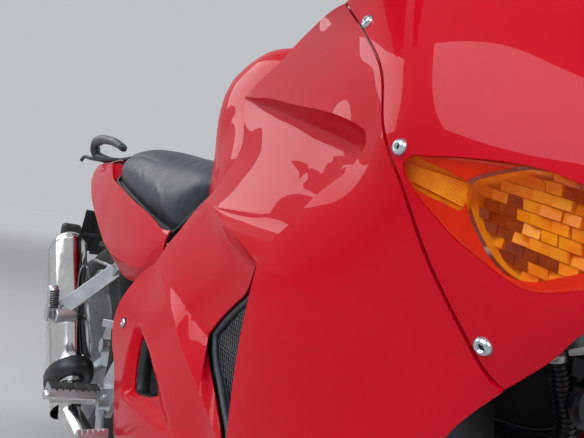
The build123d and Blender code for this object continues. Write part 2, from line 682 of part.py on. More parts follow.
solid_side = crowned(SIDE_ROWS)
scoop_wall = (scoop_body(WALL) & solid_side & side_prism(SIDE_OUTLINE, -400, -40)) - scoop_body(0)
right_cowl = (right_shell - scoop_body(0)) + scoop_wall
right_cowl -= side_prism(VENT_OUTLINE, -400, -40)
right_cowl -= side_prism(SLOT_OUTLINE, -400, -40)
right_cowl = right_cowl.solids().sort_by(SortBy.VOLUME)[-1]
# Bosses that carry the panel on the engine
for x, z in ((130, 450), (280, 420)):
    boss = rod((x, -ENGINE_HALF, z), (x, -260, z), 9) & solid_side
    right_cowl += boss - engine
parts["side_cowl_right"] = right_cowl
parts["side_cowl_left"] = mirror(right_cowl, Plane.XZ)

# Belly pan
belly = crowned(BELLY_ROWS) - crowned(BELLY_ROWS, WALL, 0, 40)
belly -= parts["side_cowl_right"]
belly -= parts["side_cowl_left"]
parts["lower_cowl"] = belly.solids().sort_by(SortBy.VOLUME)[-1]

# Upper cowl with the openings for lamp, lenses and cockpit
nose = crowned(NOSE_ROWS) - crowned(NOSE_ROWS, WALL, 60, 0)
nose = nose & side_prism(NOSE_OUTLINE, -400, 400)
cockpit = COCKPIT_PLAN + [(x, -y) for x, y in reversed(COCKPIT_PLAN)]
nose -= plan_prism(cockpit, 850, 1100)
lens_cut = side_prism(LENS_OUTLINE, -400, -120)
nose_solid = crowned(NOSE_ROWS)
lamp_cut = side_prism(LAMP_OUTLINE, -LAMP_HALF, LAMP_HALF)
nose -= lamp_cut
nose -= lens_cut
nose -= mirror(lens_cut, Plane.XZ)
nose = nose.solids().sort_by(SortBy.VOLUME)[-1]
parts["upper_cowl"] = nose

lens = (nose_solid & lens_cut) - crowned(NOSE_ROWS, LENS_DEPTH, 60, 0)
lens = lens.solids().sort_by(SortBy.VOLUME)[-1]
parts["front_turn_signals"] = both_sides(lens)
lamp = nose_solid & lamp_cut
parts["headlight"] = lamp.solids().sort_by(SortBy.VOLUME)[-1]

# Windscreen: a thin curved sheet through arcs that lean back
SCREEN_ROWS = [
    # x, z, half width, bulge, lean of the sheet in degrees
    (744, 872, 112, 44, 36),
    (672, 985, 148, 64, 42),
    (604, 1088, 126, 50, 46),
    (548, 1174, 84, 24, 50),
]
SCREEN_THICK = 3.0


def screen_section(x, z, half, bulge, lean):
    turn = math.radians(lean)
    normal = Vector(math.cos(turn), 0, math.sin(turn))
    plane = Plane(origin=(x, 0, z), x_dir=(0, 1, 0), z_dir=Vector(0, 1, 0).cross(normal))
    edges = ThreePointArc((-half, -bulge), (0, 0), (half, -bulge))
    edges += Line((half, -bulge), (half - 1, -bulge - SCREEN_THICK))
    edges += ThreePointArc((half - 1, -bulge - SCREEN_THICK), (0, -SCREEN_THICK),
                           (1 - half, -bulge - SCREEN_THICK))
    edges += Line((1 - half, -bulge - SCREEN_THICK), (-half, -bulge))
    return plane * make_face(edges)


screen = loft([screen_section(*row) for row in SCREEN_ROWS])
screen -= nose
parts["windscreen"] = screen.solids().sort_by(SortBy.VOLUME)[-1]

# Inner panel with the instruments
dash = crowned([(592, 868, 108, 900, 116, 936, 100), (660, 868, 70, 890, 78, 915, 66)])
for y, z, radius in ((-52, 902, 30), (0, 906, 38), (52, 902, 30)):
    dash += rod((584, y, z), (600, y, z + 6), radius)
dash += block(668, 0, 876, 66, 90, 16)
dash -= nose
dash -= parts["headlight"]
stay = block(600, 0, 800, 240, 46, 36) + block(690, 0, 800, 22, 110, 60) + block(610, 0, 845, 30, 46, 60)
stay -= rod(head_low - STEER_DIR * 10, head_high + STEER_DIR * 10, HEAD_TUBE_R)
stay -= parts["headlight"]
stay -= dash
stay -= frame_solid
parts["cowl_stay"] = stay.solids().sort_by(SortBy.VOLUME)[-1]
parts["dash_panel"] = dash.solids().sort_by(SortBy.VOLUME)[-1]

# Mirrors on stalks
mirror_head = Pos(618, -300, 1062) * (Rot(0, 10, 8) * Box(40, 134, 84))
mirror_head = fillet(mirror_head.edges(), 12)
stalk = rod((590, -170, 915), (612, -262, 1040), 9)
stalk -= nose_solid
one_mirror = (mirror_head + stalk).solids().sort_by(SortBy.VOLUME)[-1]
parts["mirrors"] = both_sides(one_mirror)

# Footrests, with grooves across their rubbers
PEG_R = 12.0
PEG_RIBS = 6
PEG_RIB_PITCH = 10.0
PEG_GROOVE = 3.0
PAD_RIBS = 7
PAD_RIB_PITCH = 11.0


def rider_rest():
    bracket = side_prism(
        [(-78, 622), (-116, 622), (-176, 480), (-236, 395), (-222, 350), (-184, 340), (-150, 400),
         (-122, 480)], -172, -162)
    pivot = rod((-203, -163, 370), (-203, -188, 370), 14)
    bar = rod((-203, -180, 370), (-205, -268, 381), 11)
    rubber = Box(34, 88, 14)
    for i in range(PAD_RIBS):
        rubber -= Pos(0, PAD_RIB_PITCH * (i - (PAD_RIBS - 1) / 2), 14 / 2) * Box(40, PEG_GROOVE, 2 * PEG_GROOVE)
    pad = Pos(-205, -232, 388) * (Rot(-7, 0, 0) * rubber)
    return bracket + pivot + bar + pad


rest = rider_rest() + rod((-96, -164, 604), (-96, -130, 604), 12)
rest -= parts["frame"]
parts["rider_pegs"] = both_sides(rest.solids().sort_by(SortBy.VOLUME)[-1])


def passenger_rest():
    rail_x, end_x, peg_x = follow(-300), follow(-436), follow(-440)
    upper = rod((rail_x, -122, 672), (end_x, -206, 480), 11)
    lower = rod((-208, -150, 500), (end_x, -206, 476), 10)
    stay = rod((-208, -150, 500), (rail_x, -122, 672), 9)
    pivot = rod((peg_x, -190, 470), (peg_x, -242, 466), 14)
    peg_low = Vector(peg_x - 2, -238, 468)
    peg_high = Vector(peg_x - 4, -254, 545)
    folded = rod(peg_low, peg_high, PEG_R)
    along = (peg_high - peg_low).normalized()
    for i in range(PEG_RIBS):
        groove_at = peg_low + along * (16 + PEG_RIB_PITCH * i)
        groove = rod(groove_at, groove_at + along * PEG_GROOVE, PEG_R + 1)
        folded -= groove - rod(groove_at, groove_at + along * PEG_GROOVE, PEG_R - PEG_GROOVE)
    return upper + lower + stay + pivot + folded


pax = passenger_rest() - parts["rear_subframe"] - parts["rider_pegs"] - parts["tail_cowl"]
parts["passenger_pegs"] = both_sides(pax.solids().sort_by(SortBy.VOLUME)[-1])

# Brake pedal and shift lever
TOE_RIBS = 5
TOE_RIB_PITCH = 8.0
pedal = rod((-190, -188, 352), (-190, -172, 352), 10)
pedal += pipe([(-190, -182, 352), (-120, -200, 338), (-68, -214, 366)], 30, 7)
pedal += rod((-68, -206, 368), (-68, -252, 372), 8)
for i in range(TOE_RIBS):
    pedal -= Pos(-68, -214 - TOE_RIB_PITCH * i, 378) * Box(18, PEG_GROOVE, 5)
parts["brake_pedal"] = (pedal - parts["rider_pegs"]).solids().sort_by(SortBy.VOLUME)[-1]
shift = rod((-190, 188, 352), (-190, 172, 352), 10)
shift += pipe([(-190, 182, 352), (-120, 204, 338), (-62, 214, 352)], 30, 6)
shift += rod((-62, 208, 354), (-62, 248, 354), 8)
parts["shift_lever"] = (shift - parts["rider_pegs"]).solids().sort_by(SortBy.VOLUME)[-1]

# Swingarm: a cross tube at the pivot, one arm on the left and the ring round the hub
arm_rows = [
    # x, y, z, width, height
    (-176, 96, 424, 60, 92),
    (-330, 116, 405, 50, 106),
    (-520, ARM_INNER_Y + ARM_THICK / 2, 368, ARM_THICK, 104),
    (REAR_AXLE_X + 30, ARM_INNER_Y + ARM_THICK / 2, REAR_AXLE_Z + 8, ARM_THICK, 96),
]
arm = loft(
    [
        Plane(origin=(x, y, z), x_dir=(0, 1, 0), z_dir=(1, 0, 0)) * RectangleRounded(w, h, 12)
        for x, y, z, w, h in arm_rows
    ]
)
swing = arm + drum(*REAR_AT, ARM_RING_R, ARM_INNER_Y, ARM_INNER_Y + ARM_THICK)
swing += block(-190, 20, 422, 34, 170, 70)
for y in (-90, 84):
    swing += drum(PIVOT_X, PIVOT_Z, 28, y, y + 6) if y < 0 else drum(PIVOT_X, PIVOT_Z, 28, 84.3, 110)
swing += side_prism([(-130, 400), (-130, 440), (-190, 450), (-190, 395)], 84.3, 110)
swing += side_prism([(-130, 400), (-130, 440), (-190, 450), (-190, 395)], -90, -84.3)
swing += block(-190, -75, 422, 34, 24, 50)
swing -= drum(*REAR_AT, REAR_HUB_R + RUN_FIT, 60, 200)
swing -= drum(*REAR_AT, REAR_DISC_R + 6, 60, REAR_DISC_Y + DISC_THICK + 5)
swing -= parts["engine"]
parts["swingarm"] = swing.solids().sort_by(SortBy.VOLUME)[-1]

# Shock absorber between the arm and the frame
shock = rod((-196, 30, 458), (-112, 16, 604), 14)
for i in range(6):
    at = i / 6
    shock += Pos(-190 + 70 * at, 29 - 11 * at, 468 + 120 * at) * (Rot(0, 30, 0) * Torus(26, 6))
shock -= parts["swingarm"]
shock -= parts["frame"]
parts["shock_absorber"] = shock.solids().sort_by(SortBy.VOLUME)[-1]

# Chain: a loop round both sprockets, with the small sprocket on the engine's shaft
def belt(small_r, large_r, y_from, y_to):
    hull = make_hull(
        (
            Pos(DRIVE_SPROCKET_X, DRIVE_SPROCKET_Z) * Circle(small_r)
            + Pos(REAR_AXLE_X, REAR_AXLE_Z) * Circle(large_r)
        ).edges()
    )
    face = Plane(origin=(0, y_from, 0), x_dir=(1, 0, 0), z_dir=(0, -1, 0)) * hull
    return extrude(face, amount=y_to - y_from, dir=(0, 1, 0))


chain_mid = SPROCKET_Y + SPROCKET_THICK / 2
inner_small = DRIVE_SPROCKET_R
inner_large = SPROCKET_R + CHAIN_GAP
chain = belt(inner_small + CHAIN_DEPTH, inner_large + CHAIN_DEPTH,
             chain_mid - CHAIN_WIDTH / 2, chain_mid + CHAIN_WIDTH / 2)
chain -= belt(inner_small, inner_large, chain_mid - 60, chain_mid + 60)
parts["chain"] = chain
shaft = drum(DRIVE_SPROCKET_X, DRIVE_SPROCKET_Z, 16, 84, SPROCKET_Y + SPROCKET_THICK + 4)
shaft += drum(DRIVE_SPROCKET_X, DRIVE_SPROCKET_Z, DRIVE_SPROCKET_R, SPROCKET_Y,
              SPROCKET_Y + SPROCKET_THICK)
parts["drive_sprocket"] = (shaft - parts["engine"] - parts["swingarm"]).solids().sort_by(
    SortBy.VOLUME)[-1]

# Rear caliper on the arm
rear_caliper = caliper(REAR_DISC_Y, DISC_THICK, REAR_DISC_R, *REAR_AT, 20, 46, 30)
rear_caliper -= parts["swingarm"]
rear_caliper -= drum(*REAR_AT, REAR_DISC_R + CALIPER_GAP, REAR_DISC_Y - CALIPER_GAP,
                     REAR_DISC_Y + DISC_THICK + CALIPER_GAP)
parts["rear_caliper"] = rear_caliper.solids().sort_by(SortBy.VOLUME)[-1]

# Hugger over the front of the rear tyre, carried by the arm
hugger_r = REAR_TYRE_R + 14
hugger = revolve(arched(hugger_r, REAR_TYRE_HALF + 9, 40, 3), Axis.Y, revolution_arc=92)
hugger = Pos(REAR_AXLE_X, 0, REAR_AXLE_Z) * (Rot(0, -100, 0) * hugger)
hugger += block(-424, 108, 455, 40, 24, 50)
hugger -= parts["swingarm"]
parts["hugger"] = hugger.solids().sort_by(SortBy.VOLUME)[-1]

# Exhaust pipe and muffler
direction = (MUFFLER_REAR - MUFFLER_FRONT).normalized()


def oval(at, half_width, half_height):
    plane = Plane(origin=MUFFLER_FRONT + direction * at, x_dir=(0, 1, 0), z_dir=direction)
    return plane * Ellipse(half_width, half_height)


muffler_length = (MUFFLER_REAR - MUFFLER_FRONT).length
muffler = loft([oval(-34, 30, 30), oval(-6, 50, 55)])
muffler += extrude(oval(-6, MUFFLER_HALF_WIDTH + 2, MUFFLER_HALF_HEIGHT + 2), amount=22, dir=direction)
muffler += extrude(oval(16, MUFFLER_HALF_WIDTH, MUFFLER_HALF_HEIGHT),
                   amount=muffler_length - 40, dir=direction)
muffler += loft([oval(muffler_length - 24, MUFFLER_HALF_WIDTH, MUFFLER_HALF_HEIGHT),
                 oval(muffler_length, 38, 44)])
muffler -= rod(MUFFLER_REAR - direction * 90, MUFFLER_REAR + direction * 30, 19)
parts["muffler"] = muffler
pipe_end = MUFFLER_FRONT - direction * 34
header = pipe(
    [(120, -56, 184), (-70, -66, 180), (-160, -146, 196), (-270, -172, 250),
     tuple(MUFFLER_FRONT - direction * 96), tuple(pipe_end)],
    50,
    PIPE_R,
)
header += pipe([(330, 0, 330), (352, -30, 216), (230, -50, 186), (110, -56, 184)], 40, 20)
header -= parts["engine"]
header -= parts["lower_cowl"]
parts["exhaust_pipe"] = header.solids().sort_by(SortBy.VOLUME)[-1]

# Centre stand with the lugs that carry it
stand = rod((STAND_PIVOT_X + 10, -126, 140), (STAND_PIVOT_X + 10, 126, 140), 9)
for side in (-1, 1):
    top = Vector(STAND_PIVOT_X, side * STAND_LEG_Y, STAND_PIVOT_Z)
    stand += rod((STAND_PIVOT_X, side * (STAND_LEG_Y - STAND_LEG_R), STAND_PIVOT_Z),
                 (STAND_PIVOT_X, side * (STAND_LEG_Y + STAND_LEG_R), STAND_PIVOT_Z), 15)
    foot = Vector(STAND_FOOT_X, side * STAND_FOOT_Y, STAND_FOOT_THICK)
    stand += rod(top, foot, STAND_LEG_R)
    stand += block(STAND_FOOT_X, side * STAND_FOOT_Y, STAND_FOOT_THICK / 2, 56, 44, STAND_FOOT_THICK)
stand -= block(0, 0, -50, 3000, 3000, 100)
stand -= rod((STAND_PIVOT_X, -300, STAND_PIVOT_Z), (STAND_PIVOT_X, 300, STAND_PIVOT_Z),
             STAND_PIN_R + RUN_FIT)
parts["center_stand"] = stand
pin = rod((STAND_PIVOT_X, -STAND_LEG_Y - 14, STAND_PIVOT_Z), (STAND_PIVOT_X, STAND_LEG_Y + 14, STAND_PIVOT_Z),
          STAND_PIN_R)
lugs = pin
for side in (-1, 1):
    inner = side * (STAND_LEG_Y - STAND_LEG_R - 12)
    outer = side * (STAND_LEG_Y - STAND_LEG_R - 2)
    lugs += side_prism([(-34, 300), (-34, 352), (-150, 300), (STAND_PIVOT_X - 16, 226),
                        (STAND_PIVOT_X - 10, 200), (STAND_PIVOT_X + 16, 204)],
                       min(inner, outer), max(inner, outer))
lugs -= parts["engine"]
parts["stand_lugs"] = lugs

# Side stand, folded along the left of the machine
side_axis = SIDE_LEG.cross(SIDE_DOWN).normalized()
side_foot = SIDE_PIVOT + SIDE_LEG
side_stand = rod(SIDE_PIVOT, side_foot, SIDE_LEG_R) + rod(
    SIDE_PIVOT - side_axis * 12, SIDE_PIVOT + side_axis * 12, 18)
side_stand += Plane(origin=side_foot, z_dir=SIDE_LEG) * extrude(
    RectangleRounded(52, 34, 8), amount=6)
parts["side_stand"] = side_stand
side_lug = rod(SIDE_PIVOT + side_axis * 12.4, SIDE_PIVOT + side_axis * 26, 20)
side_lug += rod(SIDE_PIVOT + side_axis * 25.5, (-36, 120, 312), 13)
side_lug -= rod(SIDE_PIVOT, SIDE_PIVOT + side_axis * 12.4, 60)
side_lug -= parts["engine"]
side_lug -= parts["stand_lugs"]
parts["side_stand_lug"] = side_lug.solids().sort_by(SortBy.VOLUME)[-1]

os.makedirs("parts", exist_ok=True)
for name, shape in parts.items():
    export_step(shape, f"parts/{name}.step")
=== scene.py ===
import math
import random

import bmesh
import bpy
import numpy as np
from mathutils import Matrix, Vector


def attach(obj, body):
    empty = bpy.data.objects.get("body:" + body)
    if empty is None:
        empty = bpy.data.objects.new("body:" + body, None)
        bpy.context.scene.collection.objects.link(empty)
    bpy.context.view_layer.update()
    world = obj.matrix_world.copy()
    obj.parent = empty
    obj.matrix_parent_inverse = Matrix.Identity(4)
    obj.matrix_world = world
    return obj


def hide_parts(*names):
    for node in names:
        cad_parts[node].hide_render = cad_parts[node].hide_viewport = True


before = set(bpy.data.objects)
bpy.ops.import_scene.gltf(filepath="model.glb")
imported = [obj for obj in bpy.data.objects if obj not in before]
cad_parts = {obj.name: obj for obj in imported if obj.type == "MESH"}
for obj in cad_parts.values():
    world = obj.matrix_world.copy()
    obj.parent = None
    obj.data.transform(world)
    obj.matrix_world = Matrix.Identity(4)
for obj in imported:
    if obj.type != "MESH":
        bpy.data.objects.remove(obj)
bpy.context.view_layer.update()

# Places and sizes below are in millimetres in the model's frame: X forward, Y to the rider's left, Z up.
MM = 0.001
SIDES = (("right", -1), ("left", 1))
FRONT_AXLE_X = 747.5
FRONT_AXLE_Z = 300
REAR_AXLE_X = -692.5
REAR_AXLE_Z = 327
random.seed(7)

# Camera of the photograph: place, viewing directions and lens
CAMERA_AT = (638.0, -462.0, 720.0)
CAMERA_FORWARD = (-0.78769, 0.61321, 0.05931)
CAMERA_RIGHT = (0.61276, 0.76986, 0.17849)
CAMERA_UP = (-0.06379, -0.17693, 0.98216)
CAMERA_LENS = 26.507

# Curves and meshes
# Points nearer than this are one
MERGE = 0.15
# Pieces with fine detail merge only what is nearer than this
FINE = 0.01
FINEST = 0.001


def path(points, count):
    """Evenly spaced points on a smooth curve through the given ones."""
    pts = np.array(points, float)
    if len(pts) == 2:
        t = np.linspace(0, 1, count)[:, None]
        return pts[0] * (1 - t) + pts[1] * t
    step = np.maximum(np.linalg.norm(np.diff(pts, axis=0), axis=1), 1e-6)
    slope = np.zeros_like(pts)
    for i in range(1, len(pts) - 1):
        before = (pts[i] - pts[i - 1]) / step[i - 1]
        after = (pts[i + 1] - pts[i]) / step[i]
        slope[i] = (before * step[i] + after * step[i - 1]) / (step[i] + step[i - 1])
    slope[0] = (pts[1] - pts[0]) / step[0] * 1.5 - slope[1] * 0.5
    slope[-1] = (pts[-1] - pts[-2]) / step[-1] * 1.5 - slope[-2] * 0.5
    dense = []
    for i in range(len(pts) - 1):
        t = np.linspace(0, 1, 24, endpoint=False)[:, None]
        h = step[i]
        dense.append(
            (2 * t**3 - 3 * t**2 + 1) * pts[i]
            + (t**3 - 2 * t**2 + t) * h * slope[i]
            + (3 * t**2 - 2 * t**3) * pts[i + 1]
            + (t**3 - t**2) * h * slope[i + 1]
        )
    dense.append(pts[-1:])
    dense = np.concatenate(dense)
    run = np.concatenate([[0], np.cumsum(np.linalg.norm(np.diff(dense, axis=0), axis=1))])
    at = np.linspace(0, run[-1], count)
    return np.stack([np.interp(at, run, dense[:, k]) for k in range(pts.shape[1])], 1)


def joined(*pieces):
    """Paths end to end; each piece is (points, number of steps)."""
    out = []
    for points, steps in pieces:
        line = path(points, steps + 1)
        out.append(line if not out else line[1:])
    return np.concatenate(out)


def thin_plate(rows):
    """A smooth sheet through rows of x, z and half width."""
    ease = 0.02
    at = np.array([row[:2] for row in rows], float) / 100
    value = np.array([row[2] for row in rows], float)
    n = len(rows)

    def kernel(d2):
        return 0.5 * d2 * np.log(np.maximum(d2, 1e-12))

    gap = ((at[:, None] - at[None]) ** 2).sum(-1)
    system = np.zeros((n + 3, n + 3))
    system[:n, :n] = kernel(gap) + ease * np.eye(n)
    system[:n, n] = 1
    system[:n, n + 1 :] = at
    system[n:, :n] = system[:n, n:].T
    weight = np.linalg.solve(system, np.concatenate([value, [0, 0, 0]]))

    def half(x, z):
        q = np.stack([np.asarray(x, float) / 100, np.asarray(z, float) / 100], -1)
        d2 = ((q[..., None, :] - at) ** 2).sum(-1)
        return kernel(d2) @ weight[:n] + weight[n] + q @ weight[n + 1 :]

    return half


def on_skin(flat, skin):
    """Points x, z put on the right side of a skin."""
    return np.stack([flat[..., 0], -skin(flat[..., 0], flat[..., 1]), flat[..., 1]], -1)


def between(first, last, steps, skin=None, dent=None, ease=1.0):
    """A grid from one curve to another. With a skin, what lies between them follows it."""
    s = np.linspace(0, 1, steps + 1)[None, :, None] ** ease
    grid = first[:, None] * (1 - s) + last[:, None] * s
    if skin is not None:
        e0 = first[:, 1] + skin(first[:, 0], first[:, 2])
        e1 = last[:, 1] + skin(last[:, 0], last[:, 2])
        t = s[..., 0]
        y = -skin(grid[..., 0], grid[..., 2]) + e0[:, None] * (1 - t) + e1[:, None] * t
        grid[..., 1] = y
    if dent is not None:
        grid[..., 1] += dent(grid[..., 0], grid[..., 2])
    return grid


def rolled(grid, line, depth, reach):
    """Turns a right hand grid's margin inwards near a line of x, z."""
    gap = np.linalg.norm(grid[:, :, None, ::2] - line[None, None], axis=-1).min(-1)
    grid[..., 1] += depth * np.clip(1 - gap / reach, 0, 1) ** 2
    return grid


def coons(top, bottom, left, right):
    """A grid inside four curves; top and bottom run the same way, and so do left and right."""
    n, m = len(top), len(left)
    u = np.linspace(0, 1, n)[:, None, None]
    v = np.linspace(0, 1, m)[None, :, None]
    ruled_v = top[:, None] * (1 - v) + bottom[:, None] * v
    ruled_u = left[None] * (1 - u) + right[None] * u
    corner = (
        top[0] * (1 - u) * (1 - v) + top[-1] * u * (1 - v) + bottom[0] * (1 - u) * v + bottom[-1] * u * v
    )
    return ruled_v + ruled_u - corner


def grid_faces(rows, cols, start=0, loop=False):
    faces = []
    for i in range(rows - 1):
        a = start + i * cols
        b = a + cols
        for j in range(cols if loop else cols - 1):
            k = (j + 1) % cols
            faces.append((a + j, b + j, b + k, a + k))
    return faces


def end_caps(rings, ring):
    """Faces that close the first and the last ring of a form."""
    last = rings * ring - 1
    return [tuple(range(ring)), tuple(range(last, last - ring, -1))]


def ring_walls(n):
    """Faces between a ring of n points and the ring that follows it."""
    return [(i, (i + 1) % n, n + (i + 1) % n, n + i) for i in range(n)]


def closed_form(grid):
    """Vertices and faces of a form whose rows are closed rings, capped at both ends."""
    n, m = grid.shape[:2]
    return [tuple(p) for p in grid.reshape(-1, 3)], grid_faces(n, m, loop=True) + end_caps(n, m)


def turns(steps, start=0.0):
    """Angles in even steps round a full turn."""
    return [2 * math.pi * (k + start) / steps for k in range(steps)]


def smoothstep(t):
    return t * t * (3 - 2 * t)


def new_mesh(name, verts, faces, merge):
    """A mesh from vertices in millimetres, its doubles merged and its faces turned outwards."""
    mesh = bpy.data.meshes.new(name)
    mesh.from_pydata([tuple(float(c) * MM for c in v) for v in verts], [], faces)
    bm = bmesh.new()
    bm.from_mesh(mesh)
    bmesh.ops.remove_doubles(bm, verts=bm.verts, dist=merge * MM)
    bmesh.ops.dissolve_degenerate(bm, edges=bm.edges, dist=0.02 * MM)
    bmesh.ops.recalc_face_normals(bm, faces=bm.faces)
    bm.to_mesh(mesh)
    bm.free()
    return mesh


def piece(name, form, mat, slot, body="chassis", smooth=True, merge=MERGE):
    """A visible piece from its vertices and faces, with its material and body. Its slot is not used."""
    mesh = new_mesh(name, *form, merge)
    mesh.materials.append(mat)
    for poly in mesh.polygons:
        poly.use_smooth = smooth
    obj = bpy.data.objects.new(name, mesh)
    bpy.context.scene.collection.objects.link(obj)
    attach(obj, body)
    return obj


def flip(form):
    """A form's mirror image on the other side."""
    return [(x, -y, z) for x, y, z in form[0]], form[1]


def pairs(*rows):
    """Pieces on both sides from rows of name, form on the right, material, slot and looks, kept by name."""
    made = {name: [] for name, *rest in rows}
    for side, sign in SIDES:
        for name, form, mat, slot, look in rows:
            on_side = form if sign < 0 else flip(form)
            made[name].append(piece(f"{name}_{side}", on_side, mat, slot, **look))
    return made


def both(form):
    """A form and its mirror image as one."""
    return merged(form, flip(form))


def sheet(name, grids, mat, slot, sign=-1, outward=None):
    """Grids that share borders, as one mesh, mirrored when sign is 1.

    outward is the way its face looks, with y away from the machine's middle plane.
    """
    verts = []
    faces = []
    for grid in grids:
        n, m = grid.shape[:2]
        faces += grid_faces(n, m, len(verts))
        verts += [tuple(p) for p in grid.reshape(-1, 3)]
    form = (verts, faces)
    obj = piece(name, form if sign < 0 else flip(form), mat, slot)
    if outward is not None:
        x, y, z = outward
        way = Vector((x, y * sign, z))
        if sum(p.area * p.normal.dot(way) for p in obj.data.polygons) < 0:
            obj.data.flip_normals()
    return obj


def modifier(obj, kind, **values):
    mod = obj.modifiers.new(kind, kind)
    for key, value in values.items():
        setattr(mod, key, value)
    return mod


def bake(obj):
    """Puts the result of an object's modifiers into its mesh."""
    deps = bpy.context.evaluated_depsgraph_get()
    mesh = bpy.data.meshes.new_from_object(obj.evaluated_get(deps), depsgraph=deps)
    obj.modifiers.clear()
    old = obj.data
    obj.data = mesh
    bpy.data.meshes.remove(old)
    return obj


def prism(outline, y_from, y_to):
    """A closed prism over an outline in x, z."""
    verts = [(x, y, z) for y in (y_from, y_to) for x, z in outline]
    return verts, end_caps(2, len(outline)) + ring_walls(len(outline))


def cut(obj, form):
    """Takes a closed form out of a piece."""
    tool = bpy.data.objects.new("cutter", new_mesh("cutter", *form, MERGE))
    bpy.context.scene.collection.objects.link(tool)
    modifier(obj, "BOOLEAN", operation="DIFFERENCE", object=tool, solver="EXACT")
    bake(obj)
    bpy.data.objects.remove(tool)


def thicken(obj, thick, offset=-1):
    """Gives a sheet its thickness: inwards, or to both sides with offset 0."""
    modifier(obj, "SOLIDIFY", thickness=thick * MM, offset=offset)
    return bake(obj)


def soften(obj, width, angle=30, harden=False):
    """Rounds the edges that turn by more than an angle in degrees."""
    modifier(
        obj, "BEVEL", width=width * MM, segments=2, limit_method="ANGLE", angle_limit=math.radians(angle),
        harden_normals=harden,
    )
    return bake(obj)


def shell(obj, thick=3.0, round_edge=1.2, angle=38):
    """Gives a skin its thickness, inwards, and rounds its edges and creases."""
    modifier(obj, "SOLIDIFY", thickness=thick * MM, offset=-1)
    return soften(obj, round_edge, angle, True)


def cross_axes(axis):
    """Two directions square to an axis and to each other."""
    side = axis.orthogonal().normalized()
    return side, axis.cross(side)


def round_at(centre, one, two, radius, angle):
    return centre + one * (radius * math.cos(angle)) + two * (radius * math.sin(angle))


def lathe(profile, centre, axis, steps=48):
    """Vertices and faces of a turned form: profile of (radius, along the axis)."""
    axis = Vector(axis).normalized()
    side, other = cross_axes(axis)
    verts = []
    for r, a in profile:
        middle = Vector(centre) + axis * a
        verts += [tuple(round_at(middle, side, other, r, t)) for t in turns(steps)]
    return verts, grid_faces(len(profile), steps, loop=True)


def tube(points, radius, steps=12, samples=6, caps=True):
    """Vertices and faces of a round tube along a smooth line through points."""
    line = path(points, max(8, samples * len(points)))
    return tube_on(line, radius, steps, caps)


def tube_on(line, radius, steps=12, caps=True):
    line = [Vector(p) for p in line]
    radii = radius if hasattr(radius, "__len__") else [radius] * len(line)
    verts = []
    normal = None
    for i, p in enumerate(line):
        ahead = line[min(i + 1, len(line) - 1)] - line[max(i - 1, 0)]
        ahead.normalize()
        if normal is None:
            normal = ahead.orthogonal().normalized()
        else:
            normal = (normal - ahead * normal.dot(ahead)).normalized()
        other = ahead.cross(normal)
        for t in turns(steps):
            verts.append(tuple(p + (normal * math.cos(t) + other * math.sin(t)) * radii[i]))
    return verts, grid_faces(len(line), steps, loop=True) + (end_caps(len(line), steps) if caps else [])


def merged(*sets):
    verts = []
    faces = []
    for v, f in sets:
        faces += [tuple(i + len(verts) for i in face) for face in f]
        verts += list(v)
    return verts, faces


def box_mesh(centre, size, turn=None):
    """A box's vertices and faces, turned by a matrix about its centre."""
    c = Vector(centre)
    verts = []
    for x in (-0.5, 0.5):
        for y in (-0.5, 0.5):
            for z in (-0.5, 0.5):
                p = Vector((x * size[0], y * size[1], z * size[2]))
                verts.append(tuple(c + (turn @ p if turn else p)))
    faces = [(0, 1, 3, 2), (4, 6, 7, 5), (0, 4, 5, 1), (2, 3, 7, 6), (0, 2, 6, 4), (1, 5, 7, 3)]
    return verts, faces


# Materials
# The middle of a noise texture's values, which colours and roughness are spread over
NOISE_RANGE = (0.3, 0.7)


def shader(name):
    mat = bpy.data.materials.new(name)
    mat.use_nodes = True
    tree = mat.node_tree
    tree.nodes.clear()
    out = tree.nodes.new("ShaderNodeOutputMaterial")
    bsdf = tree.nodes.new("ShaderNodeBsdfPrincipled")
    tree.links.new(bsdf.outputs["BSDF"], out.inputs["Surface"])
    return mat, tree, bsdf


def put(node, **values):
    """Sets a node's inputs; an underscore stands for a space in an input's name."""
    for key, value in values.items():
        node.inputs[key.replace("_", " ")].default_value = value


def object_noise(tree, scale, detail=3.0, stretch=None):
    source = tree.nodes.new("ShaderNodeTexCoord").outputs["Object"]
    if stretch:
        mapping = tree.nodes.new("ShaderNodeMapping")
        put(mapping, Scale=stretch)
        tree.links.new(source, mapping.inputs["Vector"])
        source = mapping.outputs["Vector"]
    noise = tree.nodes.new("ShaderNodeTexNoise")
    put(noise, Scale=scale, Detail=detail, Roughness=0.55)
    tree.links.new(source, noise.inputs["Vector"])
    return noise.outputs["Fac"]


def ramp(tree, source, low, high):
    node = tree.nodes.new("ShaderNodeValToRGB")
    for element, at, colour in zip(node.color_ramp.elements, NOISE_RANGE, (low, high)):
        element.position = at
        element.color = tuple(colour) + (1.0,)
    tree.links.new(source, node.inputs["Fac"])
    return node.outputs["Color"]


def spread(tree, source, low, high):
    node = tree.nodes.new("ShaderNodeMapRange")
    put(node, From_Min=NOISE_RANGE[0], From_Max=NOISE_RANGE[1], To_Min=low, To_Max=high)
    tree.links.new(source, node.inputs["Value"])
    return node.outputs["Result"]


def bump(tree, bsdf, source, distance):
    node = tree.nodes.new("ShaderNodeBump")
    put(node, Strength=1.0, Distance=distance)
    tree.links.new(source, node.inputs["Height"])
    tree.links.new(node.outputs["Normal"], bsdf.inputs["Normal"])


